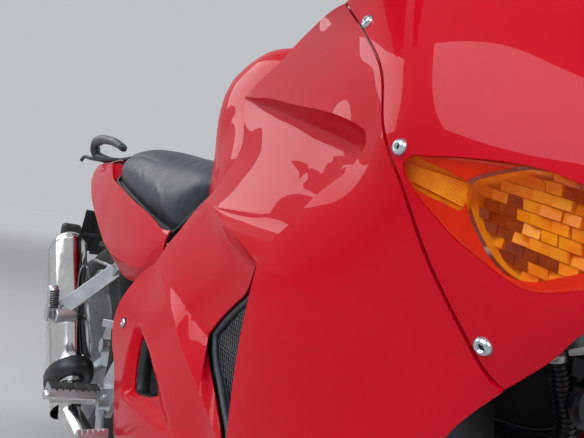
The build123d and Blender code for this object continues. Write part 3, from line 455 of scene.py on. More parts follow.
def surface(name, low, high, rough, metallic=0.0, scale=30.0, grain=None, coat=0.0, stretch=None, **more):
    """A material whose colour and roughness vary a little. grain is (scale, depth in metres)."""
    mat, tree, bsdf = shader(name)
    noise = object_noise(tree, scale, stretch=stretch)
    tree.links.new(ramp(tree, noise, low, high), bsdf.inputs["Base Color"])
    tree.links.new(spread(tree, noise, *rough), bsdf.inputs["Roughness"])
    put(bsdf, Metallic=metallic, Coat_Weight=coat, Coat_Roughness=0.03, **more)
    if grain:
        bump(tree, bsdf, object_noise(tree, grain[0], 2.0, stretch=stretch), grain[1])
    return mat


def paint():
    mat, tree, bsdf = shader("crimson_paint")
    fine = object_noise(tree, 6.0)
    tree.links.new(ramp(tree, fine, (0.55, 0.0, 0.010), (0.60, 0.0, 0.014)), bsdf.inputs["Base Color"])
    put(bsdf, Roughness=0.35, Specular_IOR_Level=0.03, Coat_Weight=0.42, Coat_IOR=1.42, Coat_Roughness=0.015)
    bump(tree, bsdf, object_noise(tree, 420.0, 2.0), 0.00002)
    return mat


PAINT = paint()
BLACK_PLASTIC = surface(
    "black_plastic", (0.012, 0.012, 0.013), (0.03, 0.03, 0.032), (0.45, 0.6), grain=(900.0, 0.00008)
)
DARK_METAL = surface(
    "dark_casting", (0.03, 0.031, 0.034), (0.07, 0.072, 0.078), (0.35, 0.5), 0.6, grain=(500.0, 0.0001)
)
CAST_ALLOY = surface(
    "cast_alloy", (0.42, 0.43, 0.45), (0.58, 0.59, 0.6), (0.28, 0.42), 0.9, grain=(700.0, 0.00006)
)
BRIGHT_STEEL = surface(
    "polished_steel", (0.62, 0.61, 0.6), (0.74, 0.73, 0.72), (0.08, 0.2), 1.0, stretch=(1, 1, 0.2)
)
DISC_STEEL = surface("ground_steel", (0.42, 0.42, 0.43), (0.56, 0.56, 0.57), (0.22, 0.34), 1.0, scale=80.0)
BLACK_STEEL = surface(
    "black_steel", (0.012, 0.012, 0.013), (0.028, 0.028, 0.03), (0.3, 0.42), 0.2, grain=(600.0, 0.00005)
)
RUBBER = surface(
    "tyre_rubber", (0.012, 0.012, 0.012), (0.028, 0.028, 0.028), (0.6, 0.8), grain=(800.0, 0.0001)
)
VINYL = surface(
    "slate_vinyl", (0.018, 0.023, 0.03), (0.032, 0.04, 0.052), (0.38, 0.5), grain=(1400.0, 0.00012)
)
ZINC = surface(
    "zinc_screw", (0.42, 0.46, 0.5), (0.62, 0.65, 0.68), (0.18, 0.32), 0.9, scale=300.0,
    grain=(1500.0, 0.00003),
)
SLATE_PLASTIC = surface(
    "slate_plastic", (0.028, 0.034, 0.042), (0.05, 0.058, 0.068), (0.4, 0.55), grain=(900.0, 0.00008)
)
GREASY_STEEL = surface("greasy_steel", (0.08, 0.075, 0.07), (0.26, 0.25, 0.24), (0.3, 0.5), 0.8, scale=140.0)
# The signal's amber: the bowl's walls and ribs, and the lit copy of its facets
GOLD_BOWL = surface(
    "amber_bowl", (0.92, 0.24, 0.0), (1.0, 0.46, 0.004), (0.15, 0.3), scale=120.0, Specular_IOR_Level=0.2
)
# Painted shade: the facets' dark copy, for the facets that fall in shade
FACET_SHADE = surface(
    "painted_shade_facet", (0.05, 0.008, 0.0), (0.24, 0.055, 0.0), (0.25, 0.4), scale=120.0, Specular_IOR_Level=0.1
)
LENS_BED = surface(
    "signal_bed", (0.56, 0.001, 0.0), (0.70, 0.008, 0.0), (0.25, 0.4), scale=22.0, Specular_IOR_Level=0.04
)
HOSE_BLUE = surface(
    "blue_black_rubber", (0.006, 0.008, 0.016), (0.014, 0.018, 0.034), (0.3, 0.45), grain=(900.0, 0.00005)
)
PLATE_WHITE = surface("plate_white", (0.62, 0.62, 0.60), (0.70, 0.70, 0.68), (0.35, 0.5))
AMBER_SOLID = surface("amber_cover", (0.75, 0.20, 0.01), (0.85, 0.28, 0.015), (0.08, 0.16), coat=0.6)
GLOSS_BLACK = surface("gloss_black", (0.006, 0.006, 0.007), (0.014, 0.014, 0.015), (0.05, 0.12), coat=0.5)


def clear(name, colour, alpha, coat=1.0):
    """A see-through plastic."""
    mat, tree, bsdf = shader(name)
    darker = tuple(c * 0.9 for c in colour)
    tree.links.new(ramp(tree, object_noise(tree, 40.0), darker, colour), bsdf.inputs["Base Color"])
    put(bsdf, Roughness=0.04, Alpha=alpha, Coat_Weight=coat, Coat_Roughness=0.02)
    return mat


AMBER = clear("amber_lens", (1.0, 0.07, 0.0), 0.10, coat=0.5)
RED_LENS = clear("red_lens", (0.5, 0.005, 0.005), 0.85)
CLEAR = clear("clear_lens", (0.85, 0.88, 0.9), 0.22)
SCREEN = clear("screen_plastic", (0.35, 0.39, 0.42), 0.35)

# The outer skin of the fairing: x, z and half width of the body there
SKIN = [
    (98, 918, 166), (152, 918, 184), (231, 930, 203), (323, 941, 222), (354, 939, 227),
    (157, 901, 183), (210, 886, 196), (282, 862, 212), (341, 844, 227), (405, 822, 243), (430, 800, 249),
    (392, 764, 249), (341, 720, 249), (326, 700, 249), (325, 660, 249), (318, 618, 246), (313, 570, 240),
    (303, 520, 231),
    (375, 918, 235), (412, 881, 248), (442, 845, 258), (455, 800, 261), (479, 755, 256), (501, 710, 245),
    (517, 686, 237), (535, 664, 228),
    (513, 639, 224), (487, 592, 216), (455, 530, 208), (428, 478, 201), (402, 400, 188), (384, 300, 160),
    (300, 460, 216), (300, 400, 199), (295, 330, 175), (285, 276, 158), (240, 400, 201), (240, 300, 170),
    (440, 957, 224), (540, 955, 203), (600, 940, 180), (660, 912, 155), (740, 872, 110), (806, 826, 64),
    (540, 870, 240), (520, 820, 258), (560, 780, 256), (574, 707, 242), (600, 830, 230), (640, 730, 214),
    (640, 780, 222), (700, 724, 170), (700, 790, 176), (740, 780, 143), (780, 770, 110), (806, 775, 84),
    (806, 726, 74),
]
# The rear part of the side panel, behind the outlet, the same way
REAR_SKIN = [
    (-82, 650, 175), (-111, 633, 178), (-140, 611, 182), (-167, 580, 187), (-184, 556, 190), (-186, 527, 193),
    (-166, 491, 195), (-133, 462, 195), (-113, 419, 192), (-80, 355, 188), (-75, 290, 172),
    (-6, 623, 188), (53, 603, 198), (96, 588, 204), (134, 569, 208), (166, 556, 210), (220, 530, 212),
    (254, 516, 216), (301, 512, 231),
    (300, 460, 216), (300, 400, 199), (292, 330, 175), (285, 276, 158),
    (0, 520, 206), (60, 470, 210), (100, 400, 205), (60, 330, 191), (200, 440, 212), (190, 350, 190),
    (100, 280, 170), (0, 262, 168), (340, 400, 195), (350, 320, 170),
]
outer = thin_plate(SKIN)
rear = thin_plate(REAR_SKIN)

# Outlines of the side panel on that skin, in x, z
TOP_EDGE = [
    (99, 917), (150, 918), (184, 920), (215, 921.5), (240, 924.5), (260, 928.5), (280, 932.5), (300, 935),
    (323, 938), (340, 939), (356, 937),
]
SEAM_HIGH = [
    (356, 937), (373, 920), (410, 882), (429, 861), (440, 846), (445, 834), (448, 820), (451, 809), (457, 796)
]
SEAM_MID = [(457, 796), (464, 782), (471, 771), (479, 755), (487, 738), (495, 722)]
SEAM_LOW = [(495, 722), (502, 710), (510, 697), (517, 686), (525, 674), (531, 667), (535, 664)]
FRONT_HIGH = [(535, 664), (531, 660), (522, 650), (513, 639), (504, 626)]
FRONT_MID = [(504, 626), (487, 592), (466, 550), (428, 478)]
FRONT_LOW = [(428, 478), (402, 400), (384, 300)]
RIM_BACK = [(99, 917), (160, 899), (210, 886), (283, 862), (343, 843)]
RIM_FRONT = [(343, 843), (388, 827), (407, 819), (421, 812), (430, 806), (433, 800)]
LIP_TIP = [(433, 800), (432, 794), (427, 788), (420, 781), (411, 775), (393, 764)]
LIP = [(393, 764), (375, 749), (362, 736), (341, 720), (332, 708), (327, 700)]
TRAIL_HIGH = [(327, 700), (326, 685), (324, 669), (322, 655)]
TRAIL_LOW = [(322, 655), (319, 633), (316, 605), (312, 567), (308, 540), (301, 512)]
BELOW_VENT = [(301, 512), (302, 460), (300, 400), (292, 330), (285, 276)]
# Where the scoop's wall meets its floor, in x, y, z
FOLD_BACK = [(99, -166, 917), (130, -167, 901), (190, -173, 873), (245, -180, 852), (300, -188, 828)]
FOLD_FRONT = [(300, -188, 828), (334, -195, 813), (358, -202, 802), (366, -206, 794)]
FOLD_TIP = [(366, -206, 794), (369, -207, 785), (362, -205, 774), (350, -201, 765)]
FOLD_LOW = [(350, -201, 765), (325, -196, 754), (300, -192, 746), (283, -190, 742)]
# Rear edges, from the top down
SCOOP_REAR = [
    (99, -166, 917), (103, -162, 878), (106, -160, 851), (94, -158, 831), (71, -157, 809), (49, -157, 786),
    (12, -160, 757),
]
BLADE_REAR = [(12, -160, 757), (-14, -162, 735), (-35, -165, 711), (-63, -169, 684), (-82, -175, 650)]
PANEL_REAR = [
    (-82, -175, 650), (-111, -178, 633), (-140, -182, 611), (-167, -187, 580), (-183, -190, 556),
    (-184, -193, 527), (-166, -195, 491), (-133, -195, 462), (-113, -192, 419), (-84, -188, 355),
    (-72, -173, 290),
]
FLOOR_BACK = [(12, -160, 757), (50, -169, 756), (88, -176, 753)]
FLOOR_LOW = [(88, -176, 753), (147, -180, 751), (202, -184, 749), (251, -187, 746), (283, -190, 742)]
LEDGE_EDGE = [
    (88, -176, 753), (144, -190, 734), (200, -205, 722), (263, -225, 710), (310, -243, 702),
    (327, -249.5, 700),
]
BLADE_LOW = [
    (-82, -175, 650), (-30, -182, 638), (41, -188, 623), (81, -189, 611), (116, -188, 600), (160, -187, 593),
]
BLADE_FRONT = [
    (327, -249.5, 700), (300, -228, 699), (264, -207, 692), (240, -197, 660), (208, -191, 638),
    (181, -188, 616), (160, -187, 593),
]
FACET_FRONT = [
    (160, -187, 593), (165, -188, 580), (180, -191, 564), (208, -197, 548), (237, -206, 536),
    (269, -216, 524), (301, -231, 512),
]
CREASE = [
    (-82, -175, 650), (-6, -188, 623), (53, -198, 603), (96, -204, 588), (134, -208, 569), (166, -210, 556),
    (195, -211, 543), (220, -212, 532), (254, -216, 521), (301, -231, 512),
]
SLOT = [
    (-48, 541), (-34, 544), (-20, 543), (9, 536), (40, 523), (66, 507), (75, 492), (68, 480), (40, 467),
    (-4, 453), (-34, 449), (-42, 462), (-45, 480), (-48, 514),
]
SLOT_DEPTH = 15
# Steps of the grids along the panel's outline, edge by edge, and across the front part, wall and back part
TOP_STEPS, HIGH_STEPS, MID_STEPS, LOW_STEPS, SHORT_STEPS, TRAIL_STEPS = 60, 30, 22, 22, 12, 36
SCOOP_ROWS = TOP_STEPS + HIGH_STEPS + MID_STEPS + LOW_STEPS
VENT_END = SCOOP_ROWS + SHORT_STEPS + TRAIL_STEPS
BLADE_STEPS = 20
FRONT_ACROSS = 24
WALL_ACROSS = 12
BACK_ACROSS = 60
# Where a cowl's edge rolls in: how deep, and from how far
ROLL = (3.5, 13.0)
# Which way the side skins face, given for the left side
OUT = (0.25, 1, 0.1)


def slot_dent(x, z):
    """Depth of the hollow round the slot: it starts at a curved crease and ends at a ledge below."""
    crease_x = np.interp(z, [440, 470, 500, 530, 552], [150, 168, 120, 55, -30])
    ledge_z = np.interp(x, [-45, 160], [438, 469])
    into = smoothstep(np.clip((crease_x - x) / 90, 0, 1))
    above = smoothstep(np.clip((z - ledge_z + 4) / 16, 0, 1))
    upper = np.clip((552 - z) / 14, 0, 1)
    behind = np.clip((x + 62) / 16, 0, 1)
    return SLOT_DEPTH * into * above * upper * behind


def wall_strip(edge, fold, steps):
    """From the rim of the scoop in to its floor, as a hollow curve."""
    s = np.linspace(0, 1, steps + 1)[None, :, None]
    knee = edge * 0.75 + fold * 0.25
    knee[:, 1] = edge[:, 1] * 0.12 + fold[:, 1] * 0.88
    return (edge[:, None] * (1 - s) ** 2 + knee[:, None] * 2 * s * (1 - s) + fold[:, None] * s**2)


def front_part():
    """The panel ahead of the scoop, vent and crease, with the inner edge that the other parts start from."""
    flat = [
        (TOP_EDGE, RIM_BACK, TOP_STEPS),
        (SEAM_HIGH, RIM_FRONT, HIGH_STEPS),
        (SEAM_MID, LIP_TIP, MID_STEPS),
        (SEAM_LOW, LIP, LOW_STEPS),
        (FRONT_HIGH, TRAIL_HIGH, SHORT_STEPS),
        (FRONT_MID, TRAIL_LOW, TRAIL_STEPS),
        (FRONT_LOW, BELOW_VENT, TRAIL_STEPS),
    ]
    outline = on_skin(joined(*[(o, n) for o, i, n in flat]), outer)
    inner = on_skin(joined(*[(i, n) for o, i, n in flat]), outer)
    inner[0] = outline[0] = np.array(SCOOP_REAR[0], float)
    inner[SCOOP_ROWS] = np.array(LEDGE_EDGE[-1], float)
    inner[VENT_END] = np.array(CREASE[-1], float)
    front = between(outline, inner, FRONT_ACROSS, outer, ease=1.7)
    return rolled(front, path(FRONT_HIGH[1:] + FRONT_MID[1:] + FRONT_LOW[1:], 120), *ROLL), inner


def side_panel_grids():
    front, inner = front_part()
    far = TOP_STEPS + HIGH_STEPS
    ledge_rows = far - BLADE_STEPS + 1
    fold = joined(
        (FOLD_BACK, TOP_STEPS), (FOLD_FRONT, HIGH_STEPS), (FOLD_TIP, MID_STEPS), (FOLD_LOW, LOW_STEPS)
    )
    wall = wall_strip(inner[: SCOOP_ROWS + 1], fold, WALL_ACROSS)
    floor_low = joined((FLOOR_BACK, BLADE_STEPS), (FLOOR_LOW, far - BLADE_STEPS))
    floor = coons(fold[: far + 1], floor_low, path(SCOOP_REAR, SCOOP_ROWS - far + 1), fold[far:])
    ledge_edge = path(LEDGE_EDGE, ledge_rows)
    ledge = between(floor_low[BLADE_STEPS:], ledge_edge, WALL_ACROSS)
    drift = wall[-1][::-1] - ledge[-1]
    ledge += np.linspace(0, 1, ledge_rows)[:, None, None] * drift[None]
    blade_top = np.concatenate([floor_low[:BLADE_STEPS], ledge_edge])
    blade_low = path(BLADE_LOW, far + 1)
    blade = coons(blade_top, blade_low, path(BLADE_REAR, 31), path(BLADE_FRONT, 31))
    facet_right = np.concatenate([blade_low, path(FACET_FRONT, 31)[1:]])
    crease = path(CREASE, len(facet_right))
    facet = between(crease, facet_right, 8)
    crease_down = np.concatenate([crease, inner[VENT_END + 1 :]])
    back = between(path(PANEL_REAR, len(crease_down)), crease_down, BACK_ACROSS, rear, slot_dent)
    return [front, wall, floor, ledge, blade, facet, back]


panel_grids = side_panel_grids()
for side, sign in SIDES:
    panel = sheet(f"side_panel_{side}", panel_grids, PAINT, "red_plastic", sign, OUT)
    shell(panel)
    cut(panel, prism(SLOT, sign * 150, sign * 240))
    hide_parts(f"side_cowl_{side}")

# Upper cowl: the same skin ahead of the seam
SEAM_GAP = 2.1
UPPER_SEAM_LOW = SEAM_LOW[:-2] + [(530.2, 668.4), (533.4, 665.4)]
UPPER_LOW = [
    (535, 664.5), (546, 675.3), (558, 687.5), (572, 705), (600, 721), (645, 729), (700, 725), (770, 724),
]
UPPER_TOP = [(356, 937), (398, 950), (470, 957), (540, 955), (600, 940), (660, 912), (740, 872), (770, 851)]
UPPER_NOSE = [(770, 724), (771, 765), (771, 810), (770, 851)]
LENS = [
    (475, 780), (476, 774), (481, 767), (489, 758), (499, 749), (509, 740), (518, 734), (526, 729),
    (536, 723), (545, 719), (552, 718), (559, 719), (571, 723), (600, 729), (625, 735), (642, 743),
    (640, 748), (625, 754), (600, 761), (568, 768), (551, 775), (537, 778), (523, 780), (506, 782),
    (491, 783), (481, 784),
]
COWL_STEPS = 121
# The y between which a hole in the cowl's side is cut, inside and outside it
COWL_CUT = (120, 300)


def smooth_ring(outline, count):
    """A smooth closed curve through an outline, without its last point, which is the first."""
    return path(outline + outline[:1], count)[:-1]


def cowl_cut(outline, sign):
    return prism(outline, *[sign * y for y in COWL_CUT])


def upper_grid():
    seam = joined((SEAM_HIGH, HIGH_STEPS), (SEAM_MID, MID_STEPS), (UPPER_SEAM_LOW, LOW_STEPS))
    seam[:, 0] += SEAM_GAP
    back = seam[::-1]
    top = path(UPPER_TOP, COWL_STEPS)
    low = path(UPPER_LOW, COWL_STEPS)
    top[0] = back[-1]
    low[0] = back[0]
    flat = coons(low, top, back, path(UPPER_NOSE, len(back)))
    return rolled(on_skin(flat, outer), low, *ROLL)


upper = upper_grid()
smooth_lens = smooth_ring(LENS, 140)
for side, sign in SIDES:
    cowl = sheet(f"upper_cowl_{side}", [upper], PAINT, "red_plastic", sign, OUT)
    shell(cowl, 3.5)
    cut(cowl, cowl_cut(smooth_lens, sign))
    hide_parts("upper_cowl")

# Turn signals in the upper cowl: a clear amber cover, its red bed, and a bowl of small facets
WIDE_BOWL = [
    (511, 768), (513, 760), (516, 751), (521, 742), (527, 733), (533, 727), (541, 723), (549, 723),
    (562, 728), (590, 740), (604, 752), (590, 760), (562, 771), (554, 775), (543, 777), (534, 776),
    (524, 774), (517, 772),
]
NARROW_BOWL = [
    (466, 782), (471, 785), (493, 779), (509, 772), (514, 769), (514, 761), (512, 755), (501, 758),
    (487, 763), (472, 772),
]
LENS_ROWS = 60
LENS_ACROSS = 20
# The points of LENS up to this one are its lower edge
LENS_TIP = 15
cover = between(
    on_skin(path(LENS[: LENS_TIP + 1], LENS_ROWS), outer),
    on_skin(path([LENS[0]] + LENS[:LENS_TIP:-1], LENS_ROWS), outer),
    LENS_ACROSS, outer,
)
bed = cover.copy()
arch = np.sin(np.linspace(0, math.pi, LENS_ACROSS + 1))[None]
along = np.linspace(0, 1, LENS_ROWS)[:, None]
cover[..., 1] += 0.6 - 1.6 * (arch * along**0.5)
bed[..., 1] += 3.0 + 7.0 * (arch**0.5 * along**0.7)
for side, sign in SIDES:
    glass = thicken(sheet(f"amber_cover_{side}", [cover], AMBER, "lens_amber", sign, OUT), 2.0)
    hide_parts("front_turn_signals")
    lens_bed = thicken(sheet(f"lens_bed_{side}", [bed], LENS_BED, "lens_amber", sign, OUT), 1.2)
    for bowl in (WIDE_BOWL, NARROW_BOWL):
        cut(lens_bed, cowl_cut(smooth_ring(bowl, 80), sign))

# Nose of the upper cowl: top deck, cheeks round the headlight and chin
NOSE_X = 770.0
LAMP_HALF = 78.0
# The opening's edge beside the lamp, in x, z
LAMP_SIDE = [(793, 772), (792, 812), (760, 848)]
LAMP_TOP = [(700, 881), (760, 848)]
DECK_INNER = [
    (356, -206, 940), (470, -206, 953), (560, -172, 951), (650, -122, 915), (690, -90, 887),
    (700, -LAMP_HALF, 881),
]
UP = (0, 0, 1)
CHEEK_ROWS = 40


def crossbar(rows, rise, sweep):
    """A strip from side to side: rows of x, z at its middle, raised there and swept back at the ends."""
    across = [(y, (y / LAMP_HALF) ** 2) for y in np.linspace(-LAMP_HALF, LAMP_HALF, 25)]
    return np.array([[(x - sweep * s, y, z + rise * (1 - s)) for y, s in across] for x, z in rows])


def nose_grids():
    top_line = on_skin(path(UPPER_TOP, COWL_STEPS), outer)
    deck_outer = np.array([p for p in top_line if p[0] <= NOSE_X])
    lamp_top = path([(x, -LAMP_HALF, z) for x, z in LAMP_TOP], 30)
    inner_line = np.concatenate([path(DECK_INNER, len(deck_outer) - 29), lamp_top[1:]])
    deck = between(deck_outer, inner_line, 8)
    deck[..., 2] += 3.0 * np.sin(math.pi * np.linspace(0, 1, 9))[None]
    flat_low = path(UPPER_LOW, COWL_STEPS)
    z_top = float(np.interp(NOSE_X, top_line[:, 0], top_line[:, 2]))
    z_low = float(np.interp(NOSE_X, flat_low[:, 0], flat_low[:, 1]))
    zs = np.linspace(z_low, z_top, CHEEK_ROWS)
    back = on_skin(np.stack([np.full(CHEEK_ROWS, NOSE_X), zs], 1), outer)
    edge = [(792, z_low + 2), (792, 750)] + LAMP_SIDE
    cheek = between(back, path([(x, -LAMP_HALF, z) for x, z in edge], CHEEK_ROWS), 10)
    swell = np.sin(math.pi * np.linspace(0, 1, 11))[None] * 5.0
    cheek[..., 1] -= swell
    cheek[..., 0] += swell * 0.6
    return deck, cheek


deck, cheek = nose_grids()
for side, sign in SIDES:
    for name, grid, outward in (("cowl_deck", deck, UP), ("cowl_cheek", cheek, (1, 0.6, 0))):
        part = sheet(f"{name}_{side}", [grid], PAINT, "red_plastic", sign, outward)
        shell(part, 3.0, 1.0)
        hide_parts("upper_cowl")
bridge = crossbar([(690, 886), (695, 884), (700, 881)], 10, 0)
chin = crossbar([(806, 730), (804, 724), (790, 719), (740, 716)], 0, 14)
for name, grid in (("cowl_bridge", bridge), ("cowl_chin", chin)):
    strip = thicken(sheet(name, [grid], PAINT, "red_plastic"), 3, 0)
    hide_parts("upper_cowl")

# Headlight: a clear crowned glass over two bowls in a dark housing
glass_line = path([(806, 730), (808, 772), (806, 812), (772, 847), (700, 881)], 40)
across = np.linspace(-1, 1, 33)
glass_grid = np.array(
    [
        [(x - 14 * y * y, y * LAMP_HALF, z + (6 * (1 - y * y) if z > 812 else 0)) for y in across]
        for x, z in glass_line
    ]
)
glass_grid[..., 0] = np.minimum(glass_grid[..., 0], 806)
lamp_glass = thicken(sheet("headlight_glass", [glass_grid], CLEAR, "lamp_glass", outward=(1, 0, 0.5)), 2.5)
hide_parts("headlight")
housing_grid = glass_grid.copy()
housing_grid[..., 0] = 700 + (housing_grid[..., 0] - 700) * 0.12
housing_grid[..., 1] *= 0.96
housing_grid[..., 2] = 738 + (housing_grid[..., 2] - 730) * 0.9
housing = thicken(sheet("headlight_housing", [housing_grid], BLACK_PLASTIC, "black_plastic"), 2.5, 0)
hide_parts("headlight")
LAMP_PLACES = [(708, y, 782) for y in (-38, 38)]
LAMP_AIM = (1, 0, 0.05)
LAMP_BOWL = [(34, 60), (34, 57), (32, 40), (27, 22), (18, 8), (7, 2), (0.4, 2)]
BULB = [(0.3, 44), (5, 42), (6, 36), (6, 20), (9, 18), (9, 6)]
bowls = [lathe(LAMP_BOWL, at, LAMP_AIM, 40) for at in LAMP_PLACES]
piece("headlight_bowls", merged(*bowls), BRIGHT_STEEL, "bare_metal")
bulbs = [lathe(BULB, at, LAMP_AIM, 20) for at in LAMP_PLACES]
piece("headlight_bulbs", merged(*bulbs), CLEAR, "lamp_glass")

# Hex socket screws of the fairing, as x, z and the head's radius
SCREWS = [(407, 896, 5.4), (472, 789, 5.4), (527, 686, 5.4), (-126, 533, 7.6)]

# A domed head as shares of its radius and height, after its foot, and the points round it
DOME = [(0.97, 0.3), (0.85, 0.62), (0.68, 0.85), (0.52, 0.95)]
ROUND = 36


def socket_screw(at, axis, radius=5.4, high=3.6):
    """A domed screw head with a hexagon sunk in it."""
    axis = Vector(axis).normalized()
    dome = [(radius + 0.2, -2.0), (radius, 0.0)] + [(radius * r, high * a) for r, a in DOME]
    verts, faces = lathe(dome, at, axis, ROUND)
    ring = len(verts) - ROUND
    start = len(verts)
    side, other = cross_axes(axis)
    sector = math.pi / 3
    for level in (high * 0.93, high * 0.1):
        middle = Vector(at) + axis * level
        for t in turns(ROUND):
            r = radius * 0.46 * math.cos(sector / 2) / math.cos((t % sector) - sector / 2)
            verts.append(tuple(round_at(middle, side, other, r, t)))
    for k in range(ROUND):
        j = (k + 1) % ROUND
        faces.append((ring + k, ring + j, start + j, start + k))
        faces.append((start + k, start + j, start + ROUND + j, start + ROUND + k))
    faces.append(tuple(start + ROUND + k for k in range(ROUND)))
    return verts, faces


def skin_place(x, z):
    """A place on the right side's skin with its outward direction."""
    skin = outer if x > 0 else rear
    hx = float(skin(x + 1, z) - skin(x - 1, z)) / 2
    hz = float(skin(x, z + 1) - skin(x, z - 1)) / 2
    return Vector((x, -float(skin(x, z)), z)), Vector((-hx, -1.0, -hz)).normalized()


heads = [socket_screw(*skin_place(x, z), size) for x, z, size in SCREWS]
pairs(("fairing_screws", merged(*heads), ZINC, "bright_steel", {"merge": FINE}))

# What lies under the amber cover: a ribbed narrow bowl and a wide bowl of brick-like facets
BRICK_X = 9.0
BRICK_Z = 6.0
BRICK_FALL = 0.30


def inside(x, z, outline):
    """Whether a place is within an outline: its rays cross the edges an odd number of times."""
    hit = False
    for (xi, zi), (xj, zj) in zip(outline, outline[-1:] + outline[:-1]):
        if (zi > z) != (zj > z) and x < (xj - xi) * (z - zi) / (zj - zi) + xi:
            hit = not hit
    return hit


def bricks(rng):
    """Facets in rows that fall forward, each tipped its own way. Lit ones and painted-shade ones apart."""
    light, dark = [], []
    wide, tall = BRICK_X * 0.94, BRICK_Z * 0.92
    for row in range(-3, 14):
        for col in range(-2, 15):
            x0 = 506 + col * BRICK_X + (row % 2) * BRICK_X / 2
            z0 = 716 + row * BRICK_Z
            corners = [(x0, z0), (x0 + wide, z0), (x0 + wide, z0 + tall), (x0, z0 + tall)]
            corners = [(x, z - BRICK_FALL * (x - 540)) for x, z in corners]
            mid_x, mid_z = np.mean(corners, 0)
            if not inside(mid_x, mid_z, WIDE_BOWL):
                continue
            y_mid = -float(outer(mid_x, mid_z)) + 20.0 + 3.0 * math.sin(mid_x * 0.11)
            tip_x = rng.uniform(-0.5, 0.5)
            tip_z = rng.uniform(-0.4, 0.4)
            quad = [(x, y_mid + tip_x * (x - mid_x) + tip_z * (z - mid_z), z) for x, z in corners]
            brick = (quad + [(x, y + 5.0, z) for x, y, z in quad], [(0, 1, 2, 3)] + ring_walls(4))
            # Painted shade: four in five facets low and to the rear get the dark copy, about one in seven
            # elsewhere
            shaded_share = 0.14 + 0.66 * (mid_x < 541) * (mid_z < 764)
            (dark if rng.random() < shaded_share else light).append(brick)
    return light, dark


def bowl_wall(outline, *depths):
    """The wall and bottom of a bowl, between two depths behind the skin."""
    line = smooth_ring(outline, 90)
    verts = [(x, -float(outer(x, z)) + y, z) for y in depths for x, z in line]
    n = len(line)
    return verts, ring_walls(n) + [tuple(range(n, 2 * n))]


def ribs():
    """Long fine ribs along the narrow bowl."""
    sets = []
    for k in range(9):
        t = (k + 0.5) / 9
        start = Vector((468, 0, 783 - 9 * t))
        end = Vector((512, 0, 770 - 14 * t))
        line = []
        for s in np.linspace(0, 1, 10):
            p = start.lerp(end, s)
            line.append((p.x, -float(outer(p.x, p.z)) + 11.0, p.z))
        sets.append(tube_on(line, 0.75, 6))
    return merged(*sets)


lit_bricks, shaded_bricks = bricks(random.Random(11))
FACETED = {"smooth": False, "merge": FINEST}
pairs(
    ("signal_lit_bricks", merged(*lit_bricks), GOLD_BOWL, "lens_amber", FACETED),
    ("signal_shaded_facets", merged(*shaded_bricks), FACET_SHADE, "lens_amber", FACETED),
    ("signal_bowl", bowl_wall(WIDE_BOWL, 12, 26), GOLD_BOWL, "lens_amber", {}),
    ("signal_ribs", ribs(), GOLD_BOWL, "lens_amber", {}),
    ("signal_narrow", bowl_wall(NARROW_BOWL, 8, 13), GOLD_BOWL, "lens_amber", {}),
)

# The outlet's wire mesh, the bright fins behind it and the ribbed edge of its duct
OUTLET_X = (160, 338)
WIRE_PITCH = 6.2
FIN_PITCH = 4.4


def mesh_y(x):
    return -176 - 20 * (x - OUTLET_X[0]) / 180


def wires():
    """Two sets of crossing wires, a little wavy."""
    sets = []
    for k in range(-14, 46):
        for lean in (0.28, -0.9):
            line = []
            for s in np.linspace(0, 1, 14):
                z = 496 + 206 * s
                x = 160 + WIRE_PITCH * k + lean * (z - 600)
                if OUTLET_X[0] < x < OUTLET_X[1]:
                    line.append((x, mesh_y(x) - 1.5 * math.sin(s * 30), z))
            if len(line) > 2:
                sets.append(tube_on(line, 0.8, 5, False))
    return merged(*sets)


def fins():
    sets = []
    for k in range(46):
        z = 498 + FIN_PITCH * k
        line = [(x, mesh_y(x) + 13, z + 0.05 * (x - 250)) for x in np.linspace(165, 335, 18)]
        sets.append(box_strip(line, 8.0, 1.1))
    return merged(*sets)


def box_strip(line, deep, high):
    """A strip of oblong section along a line."""
    section = ((0, -high), (0, high), (deep, high), (deep, -high))
    return closed_form(np.array([[(x, y + a, z + b) for a, b in section] for x, y, z in line]))


def duct_edge():
    """A ribbed lip just inside the rear edge of the outlet."""
    line = joined((BLADE_FRONT[2:], 30), (FACET_FRONT, 30))
    sets = [tube_on(line + np.array([6.0, 7.0, 0.0]), 4.2, 10)]
    for k in range(3):
        shift = np.array([7.0 + 4.5 * k, 12.0 + 5.0 * k, 0.0])
        sets.append(tube_on(line + shift, 2.4, 8))
    return merged(*sets)


def duct_walls():
    """A dark tray behind the mesh, open to the mesh."""
    outline = [(150, 500), (150, 705), (345, 705), (345, 495), (300, 490)]
    verts = [(x, -150.0, z) for x, z in outline] + [(x, mesh_y(x) + 2, z) for x, z in outline]
    n = len(outline)
    return verts, [tuple(range(n))] + ring_walls(n)


outlet = pairs(
    ("outlet_mesh", wires(), GLOSS_BLACK, "black_steel", {"merge": FINEST}),
    ("outlet_fins", fins(), CAST_ALLOY, "bare_metal", {"merge": FINEST}),
    ("duct_edge", duct_edge(), SLATE_PLASTIC, "black_plastic", {"merge": FINEST}),
    ("duct_tray", duct_walls(), BLACK_PLASTIC, "black_plastic", {}),
)
for part in outlet["outlet_mesh"] + outlet["outlet_fins"]:
    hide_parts("radiators")

# The slot's dark liner
slot_ring = smooth_ring(SLOT, 90)
mouth = [(x, -(float(rear(x, z)) - float(slot_dent(x, z)) - 2), z) for x, z in slot_ring]
deep = [(x * 0.97 + 3, -165, z * 0.98 + 10) for x, z in slot_ring]
liner_form = (mouth + deep, ring_walls(len(mouth)))
for liner in pairs(("slot_liner", liner_form, BLACK_PLASTIC, "black_plastic", {}))["slot_liner"]:
    thicken(liner, 1.5, 1)

